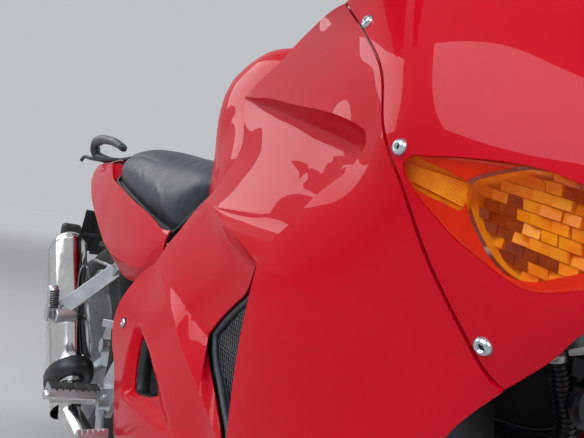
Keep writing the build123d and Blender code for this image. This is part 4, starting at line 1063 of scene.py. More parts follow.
# Fuel tank: closed sections smoothed round the body
TANK_SECTIONS = [
    # x, low z, low half width, middle z, half width, shoulder z, half width, top z
    (-86, 792, 70, 838, 84, 884, 66, 908), (-70, 768, 92, 838, 108, 918, 98, 950),
    (-40, 750, 112, 846, 126, 944, 124, 980), (0, 738, 124, 862, 139, 968, 139, 997),
    (60, 730, 131, 890, 150, 985, 146, 1003), (120, 734, 132, 900, 152, 989, 147, 1003),
    (180, 742, 130, 900, 150, 978, 141, 999), (240, 768, 120, 892, 140, 954, 120, 990),
    (280, 796, 108, 884, 122, 922, 88, 966), (290, 812, 96, 880, 108, 904, 72, 946),
]


def whole_row(x, right):
    """A closed ring across the machine from its right half, which runs from the middle to the middle."""
    return [(x, y, z) for y, z in list(right) + [(-y, z) for y, z in right[-2:0:-1]]]


def tank_row(x, z0, w0, z1, w1, z2, w2, z3):
    right = [(0, z0), (-w0, z0 + 2), (-w1, z1), (-w2, z2), (-w2 * 0.62, z3 - 2), (0, z3)]
    return whole_row(x, path(right, 34))


CAP_X = 70
CAP_RADIUS = 58
CAP_WELL = [(62, -20), (61.5, -9), (60, -6.5), (57.5, -6), (55.5, -8), (55.5, -14), (20, -14), (0.1, -14)]
CAP_RING = [(51, -1), (51.4, 0.8), (49.5, 2.2), (46, 1.6), (44, 0.6), (20, 0.6), (17, 1.6), (0.2, 1.8)]
CAP_SCREW = [(3.4, 0), (3.3, 1.6), (2.4, 2.6), (0.1, 2.8)]
tank_grid = np.array([tank_row(*row) for row in path(TANK_SECTIONS, 64)])
tank = piece("tank_shell", closed_form(tank_grid), PAINT, "red_plastic")
cap_hole = [(0.1, -40), (CAP_RADIUS, -40), (CAP_RADIUS, 60), (0.1, 60)]
cut(tank, lathe(cap_hole, (CAP_X, 0, 1002), UP, 64))
soften(tank, 1.5, 50, True)
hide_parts("fuel_tank")
piece("cap_well", lathe(CAP_WELL, (CAP_X, 0, 1001), UP, 64), PAINT, "red_plastic")
cap_trim = merged(
    lathe(CAP_RING, (CAP_X, 0, 998.0), UP, 72),
    *[lathe(CAP_SCREW, (CAP_X + 35 * math.cos(a), 35 * math.sin(a), 998.4), UP, 16) for a in turns(6, 0.5)],
    box_mesh((84, 0, 1000.4), (13, 24, 2.4)),
)
piece("cap_trim", cap_trim, CAST_ALLOY, "bare_metal", body="filler_cap", merge=FINE)

# Tail: two shells with a ridge along each side
TAIL_SECTIONS = [
    # x, top z, top half width, shoulder z, half width, ridge z, half width, low z, low half width
    (-102, 706, 154, 696, 158, 678, 160, 648, 154),
    (-128, 706, 155, 690, 160, 672, 162, 640, 156), (-180, 718, 155, 676, 163, 628, 164, 606, 152),
    (-240, 733, 153, 680, 163, 622, 164, 590, 146), (-330, 751, 151, 694, 160, 622, 161, 584, 140),
    (-430, 774, 147, 714, 156, 630, 158, 596, 134), (-520, 795, 144, 740, 151, 652, 154, 620, 130),
    (-600, 816, 138, 766, 148, 686, 152, 656, 126), (-680, 858, 128, 794, 142, 718, 148, 692, 120),
    (-760, 863, 122, 814, 136, 756, 144, 734, 116), (-840, 866, 116, 834, 128, 794, 134, 776, 106),
    (-900, 868, 108, 846, 118, 818, 122, 802, 92), (-934, 858, 96, 848, 104, 832, 106, 820, 80),
]
TAIL_TOP = [(-610, 812), (-655, 858), (-760, 866), (-850, 869), (-905, 870), (-936, 860), (-938, 822)]


def tail_row(x, z0, w0, z1, w1, z2, w2, z3, w3):
    side = path([(-w0, z0), (-w1, z1), (-w2, z2)], 14)
    under = path([(-w2, z2), (-(w2 + w3) / 2 - 2, (z2 + z3) / 2 + 3), (-w3, z3)], 7)
    return [(x, y, z) for y, z in list(side) + list(under[1:])]


def tail_top_row(x, z):
    half = float(np.interp(-x, [600, 680, 900, 934], [137, 127, 107, 95]))
    return [(x, half * s, z + 6 * (1 - s * s)) for s in np.linspace(-1, 1, 25)]


tail_grid = np.array([tail_row(*row) for row in path(TAIL_SECTIONS, 70)])
for side, sign in SIDES:
    tail = sheet(f"tail_shell_{side}", [tail_grid], PAINT, "red_plastic", sign, OUT)
    shell(tail, 3.5, 1.5, 24)
    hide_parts("tail_cowl")
top_grid = np.array([tail_top_row(x, z) for x, z in TAIL_TOP])
tail_top = sheet("tail_top", [top_grid], PAINT, "red_plastic", outward=UP)
shell(tail_top, 3.0, 1.0)
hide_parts("tail_cowl")

# Seat: a crowned pad that narrows to the tank, with its skirt
SEAT_SECTIONS = [
    # x, low z, low half width, side z, half width, shoulder z, half width, top z
    (-34, 800, 96, 806, 104, 816, 96, 826), (-52, 776, 112, 796, 126, 822, 112, 836),
    (-92, 732, 128, 786, 144, 826, 122, 848), (-131, 702, 134, 780, 148, 830, 124, 856),
    (-200, 712, 136, 784, 148, 836, 124, 866), (-281, 729, 138, 800, 148, 846, 124, 878),
    (-370, 752, 138, 822, 146, 860, 122, 893), (-460, 775, 136, 838, 143, 872, 119, 905),
    (-530, 793, 132, 846, 137, 876, 116, 911),
    (-578, 808, 126, 848, 130, 876, 113, 908), (-598, 824, 112, 850, 120, 870, 106, 894),
]
SEAT_ROWS = 70
# How far the pad starts inside its sections; the pressure fills it out again
SHRINK = 3.0
CLOTH_FRAMES = 20
CLOTH_REACH = 5.0


def seat_row(x, z0, w0, z1, w1, z2, w2, z3):
    right = [
        (0, z0 + SHRINK), (-w0 + SHRINK, z0 + 2 + SHRINK), (-w1 + SHRINK, z1), (-w2 + SHRINK, z2),
        (-w2 * 0.5, z3 - 3 - SHRINK), (0, z3 - SHRINK),
    ]
    return whole_row(x, path(right, 30))


def inflate(pad):
    """A short cloth run under pressure, in which no point moves further than CLOTH_REACH."""
    rest = [v.co.copy() for v in pad.data.vertices]
    cloth = pad.modifiers.new("cloth", "CLOTH")
    cloth.settings.use_pressure = True
    cloth.settings.uniform_pressure_force = 4.0
    cloth.settings.effector_weights.gravity = 0.0
    cloth.settings.tension_stiffness = 40
    cloth.settings.compression_stiffness = 40
    for frame_no in range(1, CLOTH_FRAMES + 1):
        bpy.context.scene.frame_set(frame_no)
    moved = pad.evaluated_get(bpy.context.evaluated_depsgraph_get()).data
    places = []
    for before, vert in zip(rest, moved.vertices):
        step = vert.co - before
        if step.length > CLOTH_REACH * MM:
            step *= CLOTH_REACH * MM / step.length
        places.append(before + step)
    pad.modifiers.clear()
    for vert, place in zip(pad.data.vertices, places):
        vert.co = place
    bpy.context.scene.frame_set(1)


def seat_pad():
    grid = np.array([seat_row(*row) for row in path(SEAT_SECTIONS, SEAT_ROWS)])
    pad = piece("seat_pad", closed_form(grid), VINYL, "vinyl")
    modifier(pad, "REMESH", mode="VOXEL", voxel_size=6 * MM, use_smooth_shade=True)
    bake(pad)
    inflate(pad)
    seat_seams(pad)
    modifier(pad, "SUBSURF", levels=1, render_levels=1)
    bake(pad)
    for poly in pad.data.polygons:
        poly.use_smooth = True
    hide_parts("seat")


SEAM_REACH = 9
SEAM_DEPTH = 2.0


def seat_seams(pad):
    """A sewn line along each shoulder, another down beside the tank, both a little sunk."""
    shoulder = path([(r[0], r[6], r[5]) for r in SEAT_SECTIONS], 120)
    front = path([(-92, 122, 827), (-104, 143, 790), (-122, 137, 745), (-131, 134, 706)], 40)
    for line in (shoulder, front):
        for vert in pad.data.vertices:
            x, y, z = vert.co / MM
            gap = float(np.min(np.linalg.norm(line - np.array([x, abs(y), z]), axis=1)))
            if gap < SEAM_REACH:
                vert.co -= vert.normal * (SEAM_DEPTH * MM * math.exp(-((gap / 3.6) ** 2)))


seat_pad()
skirt_line = path([(r[0], -r[2] - 1, r[1] + 1) for r in SEAT_SECTIONS[1:]], 60)
piece("seat_skirt", both(tube_on(skirt_line, 4.0, 8)), BLACK_PLASTIC, "black_plastic")


def seat_base(thick=13):
    """A moulded base plate that follows the pad's underside and closes the space over the subframe."""
    rows = []
    for x, low, half, *_ in path(SEAT_SECTIONS[2:], 60):
        side = [(half - 1) * s for s in (-1, -0.5, 0, 0.5, 1)]
        rows.append([(x, y, low + 1.5) for y in side] + [(x, y, low - thick) for y in side[::-1]])
    return closed_form(np.array(rows))


piece("seat_base", seat_base(), BLACK_PLASTIC, "black_plastic")

# Grab rail: flat bed and two forged horns with small hooks


def squared_circle(steps, power):
    """Points of a circle pushed towards its square: the lower the power, the squarer."""
    points = [(math.cos(t), math.sin(t)) for t in turns(steps)]
    return [[math.copysign(abs(c) ** power, c) for c in point] for point in points]


def flat_tube(points, width, height):
    """A tube of oval section that keeps its height upright; widths and heights run along it."""
    count = 40
    line = path(points, count)
    at = np.linspace(0, 1, count)
    wide = np.interp(at, np.linspace(0, 1, len(width)), width)
    high = np.interp(at, np.linspace(0, 1, len(height)), height)
    rows = []
    for i, p in enumerate(line):
        ahead = Vector(line[min(i + 1, count - 1)] - line[max(i - 1, 0)]).normalized()
        side = Vector(UP).cross(ahead)
        side = side.normalized() if side.length > 0.05 else Vector((0, 1, 0))
        up = ahead.cross(side).normalized()
        section = squared_circle(14, 0.7)
        rows.append([tuple(Vector(p) + side * (c * wide[i]) + up * (s * high[i])) for c, s in section])
    return closed_form(np.array(rows))


RAIL_Z = 885
horn = flat_tube(
    [
        (-780, -78, 886), (-850, -104, 888), (-900, -126, 902), (-886, -136, 924), (-820, -140, 936),
        (-736, -136, 931), (-664, -126, 917), (-622, -119, 903),
    ],
    [16, 17, 15, 13, 13, 12, 12, 10], [6, 9, 15, 15, 14, 13, 12, 10],
)
hook = flat_tube(
    [(-880, -100, 884), (-930, -132, 886), (-964, -148, 886), (-970, -152, 872)], [10, 9, 6, 4], [7, 7, 6, 5],
)
strap = flat_tube(
    [(-700, -64, 884), (-745, -100, 872), (-772, -116, 850), (-770, -118, 826)], [9, 9, 8, 8], [2, 2, 2, 2],
)
rail = piece("grab_horns", merged(both(horn), both(hook)), SLATE_PLASTIC, "black_plastic")
piece("rail_straps", both(strap), CAST_ALLOY, "bare_metal")
bed = merged(
    box_mesh((-790, 78, RAIL_Z), (300, 24, 9)), box_mesh((-790, -78, RAIL_Z), (300, 24, 9)),
    box_mesh((-655, 0, RAIL_Z), (30, 150, 9)), box_mesh((-925, 0, RAIL_Z), (36, 130, 9)),
    *[box_mesh((-690 - 42 * k, 0, RAIL_Z - 2), (8, 140, 6)) for k in range(6)],
)
rack = piece("rack_bed", bed, SLATE_PLASTIC, "black_plastic", smooth=False)
soften(rack, 2.5)
for part in (rail, rack):
    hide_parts("grab_rail")
BOLT_PLACES = [(x, y) for x in (-680, -900) for y in (-62, 62)]
posts = [lathe([(9, 0), (9, 40)], (x, y, 842), UP, 20) for x, y in BOLT_PLACES]
bolts = [socket_screw((x, y, RAIL_Z + 5), UP, 7, 4) for x, y in BOLT_PLACES]
piece("rack_posts", merged(*posts), BLACK_STEEL, "black_steel")
piece("rack_bolts", merged(*bolts), ZINC, "bright_steel", merge=FINE)

# Silencer: an oval can with a dark front ring, a cone behind the pipe and an end cap with its outlet
CAN_FRONT = Vector((-464, -179, 325))
CAN_REAR = Vector((-800, -171, 593))
CAN_AXIS = (CAN_REAR - CAN_FRONT).normalized()
CAN_LENGTH = (CAN_REAR - CAN_FRONT).length
CAN_UP = Vector(UP) - CAN_AXIS * CAN_AXIS.z
CAN_UP.normalize()
CAN_SIDE = CAN_AXIS.cross(CAN_UP)
CAN_WIDE = 50.0
CAN_HIGH = 64.0


def oval_lathe(profile, centre):
    """A ring form about the silencer's axis; profile of (scale of the oval, along)."""
    steps = 64
    verts = []
    for scale, along in profile:
        for t in turns(steps):
            wide = CAN_WIDE * scale * math.cos(t)
            high = CAN_HIGH * scale * math.sin(t)
            verts.append(tuple(centre + CAN_AXIS * along + CAN_SIDE * wide + CAN_UP * high))
    return verts, grid_faces(len(profile), steps, loop=True)


can_profile = [(0.93, 2), (0.985, 5), (1.0, 12)] + [
    (1.0, 12 + (CAN_LENGTH - 24) * i / 30) for i in range(1, 31)
]
can_profile += [(0.985, CAN_LENGTH - 5), (0.95, CAN_LENGTH - 1)]
can = piece("silencer_can", oval_lathe(can_profile, CAN_FRONT), BRIGHT_STEEL, "bright_steel", merge=FINE)
ring_profile = [
    (0.52, -16), (0.55, -22), (0.86, -24), (1.0, -20), (1.045, -12), (1.045, 4), (1.03, 8), (0.99, 9),
]
front_ring = piece("silencer_ring", oval_lathe(ring_profile, CAN_FRONT), DARK_METAL, "dark_metal", merge=FINE)
band = [(1.0, 0), (1.022, 1), (1.022, 11), (1.0, 12)]
bands = merged(*[oval_lathe([(s, a + at) for s, a in band], CAN_FRONT) for at in (118, CAN_LENGTH - 26)])
piece("silencer_bands", bands, BRIGHT_STEEL, "bright_steel", merge=FINE)
end_profile = [
    (0.95, -1), (0.93, 4), (0.84, 8), (0.62, 9), (0.45, 8), (0.42, 8), (0.40, 7), (0.385, 0), (0.38, -30),
]
end_cap = piece("silencer_end", oval_lathe(end_profile, CAN_REAR), BRIGHT_STEEL, "bright_steel", merge=FINE)
rivets = []
for t in turns(12, 0.5):
    out = CAN_SIDE * (CAN_WIDE * math.cos(t)) + CAN_UP * (CAN_HIGH * math.sin(t))
    at = CAN_FRONT + CAN_AXIS * 8.0 + out * 1.045
    rivets.append(lathe([(2.6, 0), (2.2, 1.2), (0.1, 1.7)], at, out, 12))
piece("silencer_rivets", merged(*rivets), ZINC, "bright_steel", merge=FINE)
for part in (can, front_ring, end_cap):
    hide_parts("muffler")
# The joint pipe and clamp at the silencer's mouth
neck_path = [CAN_FRONT + CAN_AXIS * -18, CAN_FRONT + CAN_AXIS * -40, (-452, -186, 292), (-410, -190, 262)]
piece("silencer_neck", tube(neck_path, 25.5, 32, 8, False), BRIGHT_STEEL, "bright_steel")
neck_ring = oval_lathe([(0.42, -17), (0.5, -18), (0.5, -26), (0.44, -28), (0.43, -32)], CAN_FRONT)
piece("neck_ring", neck_ring, CAST_ALLOY, "bright_steel", merge=FINE)

# Passenger foot rest brackets: channelled alloy arms, a pivot block, the folded peg with its ribbed rubber


def channel(start, end, wide, thick, across, rim=3.0):
    """A bar with raised rims along both edges."""
    start, end, across = Vector(start), Vector(end), Vector(across).normalized()
    face = (end - start).normalized().cross(across).normalized()
    half, top = wide / 2, thick / 2
    web = thick * 0.45 - top
    left = [(-half, -top), (-half, top), (-half + rim, top), (-half + rim + 1.5, web)]
    profile = left + [(-a, b) for a, b in left[::-1]]
    return closed_form(
        np.array([[tuple(p + across * a + face * b) for a, b in profile] for p in (start, end)])
    )


def passenger_bracket():
    head = channel((-298, -124, 676), (-418, -141, 578), 30, 14, (-0.64, 0.0, 0.77), 4.0)
    upper = channel((-406, -138, 588), (-454, -246, 460), 34, 15, (-0.414, -0.595, 0.649), 5.0)
    lower = channel((-206, -150, 502), (-300, -172, 490), 16, 12, (-0.1, 0.0, 1.0))
    spine = channel((-206, -148, 506), (-298, -124, 670), 18, 12, (0.87, 0.0, 0.49))
    block = lathe(
        [(0.1, 0), (16, 0), (18, 2), (18, 42), (16, 44), (0.1, 44)], (-442, -198, 472), (0.05, -1, -0.06), 28
    )
    tabs = merged(box_mesh((-448, -236, 476), (34, 6, 36)), box_mesh((-449, -256, 474), (34, 5, 36)))
    loop = path(
        [
            (-424, -136, 586), (-560, -130, 584), (-676, -130, 568), (-690, -130, 560), (-644, -130, 524),
            (-560, -131, 560), (-428, -139, 568),
        ],
        60,
    )
    return merged(head, upper, lower, spine, block, tabs, tube_on(loop, 4.5, 10))


def folded_peg():
    low, high = Vector((-450, -246, 474)), Vector((-454, -254, 534))
    along = (high - low).normalized()
    core = lathe([(0.1, 0), (9, 1), (11, 8), (12, 46), (11, 56), (8, 60), (0.1, 61)], low, along, 24)
    tilt = Matrix.Rotation(0.2, 3, "X")
    places = [low + along * (13 + 5.2 * k) + Vector((9.5, 2, 0)) for k in range(8)]
    return core, merged(*[box_mesh(place, (9, 19, 2.6), tilt) for place in places])


peg_core, peg_teeth = folded_peg()
EDGED = {"smooth": False, "merge": FINE}
pillion = pairs(
    ("pillion_bracket", passenger_bracket(), CAST_ALLOY, "bare_metal", EDGED),
    ("pillion_peg", peg_core, CAST_ALLOY, "bare_metal", {}),
    ("pillion_rubber", peg_teeth, RUBBER, "black_plastic", {"smooth": False}),
)
for bracket in pillion["pillion_bracket"]:
    soften(bracket, 1.6, 40, True)
for rubber in pillion["pillion_rubber"]:
    soften(rubber, 0.8)
for parts in pillion.values():
    for part in parts:
        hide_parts("passenger_pegs")

# Rider foot rests: alloy shoe with a ribbed rubber on it, and pivot bolt
REST_X = -205
REST_Y = -232
REST_RISE = 0.12


def shoe_row(s):
    """A section of the alloy shoe, s from its root to its tip."""
    y = -188 - 92 * s
    z = 384 + REST_RISE * (REST_Y - y)
    half = 17 * (1 - 0.25 * s**4)
    section = [(-half, 1), (-half * 0.9, -9), (0, -14), (half * 0.9, -9), (half, 1)]
    return [(REST_X + a, y, z + b) for a, b in section]


def rest_rubber():
    tilt = Matrix.Rotation(math.radians(-7), 3, "X")
    blocks = [box_mesh((REST_X, REST_Y, 390), (33, 86, 8), tilt)]
    for k in range(4):
        y = -198 - 22 * k
        blocks.append(box_mesh((REST_X, y, 395 + REST_RISE * (REST_Y - y)), (31, 19, 4), tilt))
    return merged(*blocks)


rest_pivot = merged(
    lathe([(0.1, -4), (9, -4), (9, 30), (0.1, 30)], (-203, -196, 380), (0, 1, 0), 24),
    box_mesh((-203, -178, 378), (26, 14, 30)),
    socket_screw((-190, -180, 378), (1, 0, 0), 5, 4),
)
shoe = closed_form(np.array([shoe_row(s) for s in np.linspace(0, 1, 14)]))
rests = pairs(
    ("rider_shoe", shoe, BRIGHT_STEEL, "bare_metal", {"merge": FINE}),
    ("rider_rubber", rest_rubber(), RUBBER, "black_plastic", {"smooth": False}),
    ("rider_pivot", rest_pivot, CAST_ALLOY, "bare_metal", EDGED),
)
for pad in rests["rider_rubber"]:
    soften(pad, 1.2)
for block in rests["rider_pivot"]:
    soften(block, 1.0, 50)

# Tyres: round profiles with grooves on them, and the drilled brake discs' holes as spots on both faces;
# grooves and spots are near black, painted shade
FRONT = (FRONT_AXLE_X, FRONT_AXLE_Z)
REAR = (REAR_AXLE_X, REAR_AXLE_Z)
BEAD_RADIUS = 212
GROOVES = 26
GROOVE_RADII = [0.7, 1.3, 1.7, 1.9, 1.9, 1.8, 1.5, 1.1, 0.5]
# Painted shade: near-black rubber for the shade in the tread grooves and in the discs' drilled holes
GROOVE_SHADE = surface(
    "painted_groove_shade", (0.002, 0.002, 0.002), (0.005, 0.005, 0.005), (0.8, 0.95), grain=(900.0, 0.0001)
)


def wheel_place(axle, radius, y, angle):
    x, z = axle
    return x + radius * math.cos(angle), y, z + radius * math.sin(angle)


def crown_radius(tyre_radius, t):
    """The tyre's radius round its section, t from one bead, 0, to the other, pi."""
    return BEAD_RADIUS + (tyre_radius - 0.4 - BEAD_RADIUS) * math.sin(t) ** 0.62


def tyre_form(axle, radius, half):
    rows = [(crown_radius(radius, t), -half * math.cos(t)) for t in [math.pi * k / 32 for k in range(33)]]
    grid = np.array([[wheel_place(axle, r, y, a) for a in turns(220)] for r, y in rows])
    n, m = grid.shape[:2]
    last = (n - 1) * m
    bore = [(k, (k + 1) % m, last + (k + 1) % m, last + k) for k in range(m)]
    return [tuple(p) for p in grid.reshape(-1, 3)], grid_faces(n, m, loop=True) + bore


def tread(axle, radius, half, lead):
    """Swept grooves, every other one on the other side."""
    grooves = []
    for k in range(2 * GROOVES):
        sign = 1 if k % 2 else -1
        line = []
        for s in np.linspace(0.08, 0.84, len(GROOVE_RADII)):
            y = sign * half * s
            r = crown_radius(radius, math.acos(-y / half)) - 0.15
            line.append(wheel_place(axle, r, y, math.pi * k / GROOVES + lead * 0.22 * s**1.3))
        grooves.append(tube_on(line, GROOVE_RADII, 5, False))
    return merged(*grooves)


def disc_hole_shade(axle, faces, r_in, r_out, count):
    """Painted-shade spots for the drilled holes, in three rows on each disc face, given as y and the way it
    looks.
    """
    spots = []
    for y, way in faces:
        for row in range(3):
            r = r_in + (r_out - r_in) * (row + 0.5) / 3
            for a in turns(count, 0.33 * row):
                spots.append(lathe([(3.0, 0), (0.1, 0.06)], wheel_place(axle, r, y, a), (0, way, 0), 10))
    return merged(*spots)


# End, axle, radius, half width and the way the grooves are swept
TYRES = (("front", FRONT, 300, 60, -1), ("rear", REAR, 315, 90, 1))
for end, *size, lead in TYRES:
    tyre = piece(f"{end}_tyre_form", tyre_form(*size), RUBBER, "tyre", f"{end}_wheel", merge=FINEST)
    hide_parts(f"{end}_tyre")
for end, *size, lead in TYRES:
    # The grooves are near-black tubes on the tyre: painted shade, not cut in
    piece(f"{end}_tread", tread(*size, lead), GROOVE_SHADE, "tyre", f"{end}_wheel", merge=FINEST)
# Painted shade for the drilled holes, on both faces of each disc
front_faces = [(-80.1, -1), (80.1, 1), (-74.9, 1), (74.9, -1)]
front_hole_shade = disc_hole_shade(FRONT, front_faces, 116, 146, 30)
piece("front_disc_hole_shade", front_hole_shade, GROOVE_SHADE, "disc_steel", "front_wheel", merge=0.0)
rear_hole_shade = disc_hole_shade(REAR, [(89.9, -1), (95.1, 1)], 98, 126, 28)
piece("rear_disc_hole_shade", rear_hole_shade, GROOVE_SHADE, "disc_steel", "rear_wheel", merge=0.0)

# Chain plates and rollers along the loop about the two chain wheels
CHAIN_Y = 151.5
CHAIN_PITCH = 15.875
# The chain wheels' middles and the chain's radii on them
BIG_WHEEL = (Vector((REAR_AXLE_X, 0, REAR_AXLE_Z)), 111.0)
SMALL_WHEEL = (Vector((-95.0, 0, 405)), 48.0)


def chain_loop():
    (big, big_r), (small, small_r) = BIG_WHEEL, SMALL_WHEEL
    gap = small - big
    along = gap / gap.length
    up = Vector((-along.z, 0, along.x))
    lean = math.asin((big_r - small_r) / gap.length)
    pts = []
    for centre, r, start, end, steps in (
        (big, big_r, lean, -math.pi - lean, 60), (small, small_r, math.pi - lean, lean, 24)
    ):
        for i in range(steps + 1):
            a = start + (end - start) * i / steps
            pts.append(tuple(centre + (along * math.sin(a) + up * math.cos(a)) * r))
    return np.array(pts + pts[:1])


def chain_links():
    loop = path(chain_loop(), 600)
    run = np.concatenate([[0], np.cumsum(np.linalg.norm(np.diff(loop, axis=0), axis=1))])
    count = int(run[-1] / CHAIN_PITCH)
    pins = [
        Vector([np.interp(k * run[-1] / count, run, loop[:, c]) for c in range(3)]) for k in range(count + 1)
    ]
    links = []
    for k in range(count):
        a, b = pins[k], pins[k + 1]
        mid = (a + b) / 2
        turn = Matrix.Rotation(-math.atan2(b.z - a.z, b.x - a.x), 3, "Y")
        offset = 5.2 if k % 2 else 6.6
        for y in (CHAIN_Y - offset, CHAIN_Y + offset):
            links.append(box_mesh((mid.x, y, mid.z), (CHAIN_PITCH + 7, 1.4, 10.5), turn))
        links.append(lathe([(4.6, -6.8), (4.6, 6.8)], (a.x, CHAIN_Y, a.z), (0, 1, 0), 8))
    return merged(*links)


chain = piece("chain_links", chain_links(), GREASY_STEEL, "dark_metal", smooth=False, merge=0.0)
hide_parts("chain")

# Instruments: dial faces with numbers, ticks and needles
DIAL_WHITE = surface("dial_print", (0.6, 0.6, 0.58), (0.7, 0.7, 0.68), (0.4, 0.5))
DIAL_RED = surface("dial_needle", (0.7, 0.05, 0.01), (0.8, 0.08, 0.02), (0.3, 0.4))


def text_mesh(words, size):
    curve = bpy.data.curves.new("words", "FONT")
    curve.body = words
    curve.size = size * MM
    curve.align_x = "CENTER"
    curve.align_y = "CENTER"
    curve.extrude = 0.0001
    obj = bpy.data.objects.new("words", curve)
    bpy.context.scene.collection.objects.link(obj)
    deps = bpy.context.evaluated_depsgraph_get()
    mesh = bpy.data.meshes.new_from_object(obj.evaluated_get(deps))
    verts = [tuple(v.co / MM) for v in mesh.vertices]
    faces = [tuple(p.vertices) for p in mesh.polygons]
    bpy.data.objects.remove(obj)
    return verts, faces


# A dial faces back and up; its own plane has X to the rider's right and Y up
DIAL_X = 583
DIAL_OUT = Vector((-0.94, 0, 0.34)).normalized()
DIAL_RIGHT = Vector((0, -1, 0))
DIAL_UP = DIAL_RIGHT.cross(DIAL_OUT) * -1
# The scale begins at this angle and sweeps round clockwise, with short ticks between its numbers
DIAL_START = 225
DIAL_SWEEP = 270
TICKS = 4


def dial_angle(share):
    return math.radians(DIAL_START - DIAL_SWEEP * share)


def dial_print(centre, radius, numbers):
    """The numbers and ticks of a scale."""
    prints = []
    steps = len(numbers) - 1
    for i, word in enumerate(numbers):
        verts, faces = text_mesh(word, radius * 0.22)
        mid = round_at(centre, DIAL_RIGHT, DIAL_UP, radius * 0.62, dial_angle(i / steps))
        placed = [tuple(mid + DIAL_RIGHT * x + DIAL_UP * y + DIAL_OUT * (0.6 + z)) for x, y, z in verts]
        prints.append((placed, faces))
    face = centre + DIAL_OUT * 0.7
    for i in range(TICKS * steps + 1):
        start, thick = (0.83, 0.25) if i % TICKS else (0.78, 0.5)
        angle = dial_angle(i / (TICKS * steps))
        ends = [round_at(face, DIAL_RIGHT, DIAL_UP, radius * share, angle) for share in (start, 0.89)]
        prints.append(tube_on(ends, thick, 4))
    return merged(*prints)


def needle_form(centre, radius):
    foot = centre + DIAL_OUT * 1.6
    tip = round_at(foot, DIAL_RIGHT, DIAL_UP, radius * 0.72, dial_angle(0))
    hub = lathe([(radius * 0.12, 0.6), (radius * 0.1, 2.4), (0.1, 2.6)], centre, DIAL_OUT, 20)
    return merged(tube_on([foot, tip], [1.1, 0.4], 6), hub)


for label, y, z, radius, numbers in (
    ("left", 52, 902, 28, ["0", "2", "4", "6", "8", "10", "12"]),
    ("mid", 0, 906, 36, ["0", "40", "80", "120", "160", "200", "240"]),
    ("right", -52, 902, 28, ["0", "1", "2", "3", "4"]),
):
    centre = Vector((DIAL_X, y, z))
    face = [(radius * 0.93, 0.4), (0.1, 0.4)]
    bezel = [(radius * r, a) for r, a in ((0.9, 0.4), (0.93, 3.2), (1, 3.4), (1.03, 1.5), (1.03, -6))]
    piece(f"dial_face_{label}", lathe(face, centre, DIAL_OUT), GLOSS_BLACK, "black_plastic")
    piece(f"dial_bezel_{label}", lathe(bezel, centre, DIAL_OUT), BLACK_PLASTIC, "black_plastic")
    scale = dial_print(centre, radius, numbers)
    piece(f"dial_print_{label}", scale, DIAL_WHITE, "black_plastic", smooth=False, merge=0.0)
    piece(f"dial_needle_{label}", needle_form(centre, radius), DIAL_RED, "black_plastic")

# Mirror glasses and gaiters
GAITER = [(15, 0), (13, 3), (14, 6), (11, 9), (12, 12), (9.5, 16)]
glass_sets, gaiters = [], []
for sign in (-1, 1):
    turn = Matrix.Rotation(math.radians(10), 3, "Y") @ Matrix.Rotation(math.radians(-8 * sign), 3, "Z")
    centre = Vector((618, 300 * sign, 1062))
    outline = [(-20.6, 58 * a, 34 * b) for a, b in squared_circle(48, 0.45)]
    glass_sets.append(([tuple(centre + turn @ Vector(p)) for p in outline], [tuple(range(48))]))
    gaiters.append(lathe(GAITER, (592, 172 * sign, 917), (0.12, 0.58 * sign, 0.8), 24))
MIRROR = surface("mirror_glass", (0.85, 0.86, 0.87), (0.9, 0.9, 0.9), (0.01, 0.03), 1.0)
piece("mirror_glasses", merged(*glass_sets), MIRROR, "bright_steel", smooth=False)
piece("mirror_gaiters", merged(*gaiters), RUBBER, "black_plastic")

# Black sheets inside the cowls, a few millimetres in from the painted shells: painted shade seen through the
# seams and gaps
shade_sheet_grid = panel_grids[0][:, ::3].copy()
shade_sheet_grid[SCOOP_ROWS:, :2] = shade_sheet_grid[SCOOP_ROWS:, 2:3]
shade_sheet_grid[..., 1] += 9.0
for side, sign in SIDES:
    thicken(sheet(f"side_shade_sheet_{side}", [shade_sheet_grid], BLACK_PLASTIC, "black_plastic", sign), 1.5, 0)

# Between the engine and the left radiator: a coolant hose in its spring wrap, a loom and the horn
HOSE_LINE = [
    (366, 118, 636), (404, 140, 656), (424, 154, 640), (434, 166, 600), (440, 176, 548), (404, 182, 506),
    (340, 186, 500), (290, 190, 508),
]
hose = tube(HOSE_LINE, 10, 16, 10)


def coil_line(line, radius, step):
    """A spring's line round a hose, turning by a step in radians at each point."""
    coil = []
    for i, p in enumerate(line):
        ahead = Vector(line[min(i + 1, len(line) - 1)] - line[max(i - 1, 0)]).normalized()
        one = ahead.cross(Vector((0, 1, 0))).normalized()
        coil.append(tuple(round_at(Vector(p), one, ahead.cross(one), radius, i * step)))
    return coil


coil = coil_line(path(HOSE_LINE, 560)[60:380], 11.2, 0.62)
loom = tube(
    [(366, 146, 600), (410, 168, 630), (448, 190, 622), (452, 204, 580), (420, 206, 540), (330, 200, 520)], 5,
    10, 10,
)
loom_two = tube(
    [(368, 150, 650), (420, 176, 668), (470, 198, 660), (476, 214, 640), (452, 222, 610)], 3.5, 10, 10
)
COLLAR = [(10.5, 0), (13, 1), (13, 9), (10.5, 10)]
collars = merged(
    lathe([(10.5, 0), (14, 1), (14, 13), (10.5, 14)], (423, 153, 648), (0.25, 0.22, -1), 28),
    lathe(COLLAR, (300, 190, 507), (-1, 0.05, 0.1), 28),
    lathe(COLLAR, (372, 121, 640), (1, 0.5, 0.5), 28),
)
HORN_TURN = Matrix.Rotation(0.25, 3, "Z")
HORN = [
    (0.1, 16), (6, 16), (9, 13), (22, 12), (27, 8), (29, 2), (27, -2), (22, -3), (18, 1), (12, -2), (7, 2),
    (0.1, 2),
]
horn = merged(
    lathe(HORN, (452, 186, 588), (0.95, -0.3, 0.1), 40),
    box_mesh((444, 192, 622), (6, 20, 60), HORN_TURN),
    box_mesh((452, 178, 634), (26, 16, 24), HORN_TURN),
)
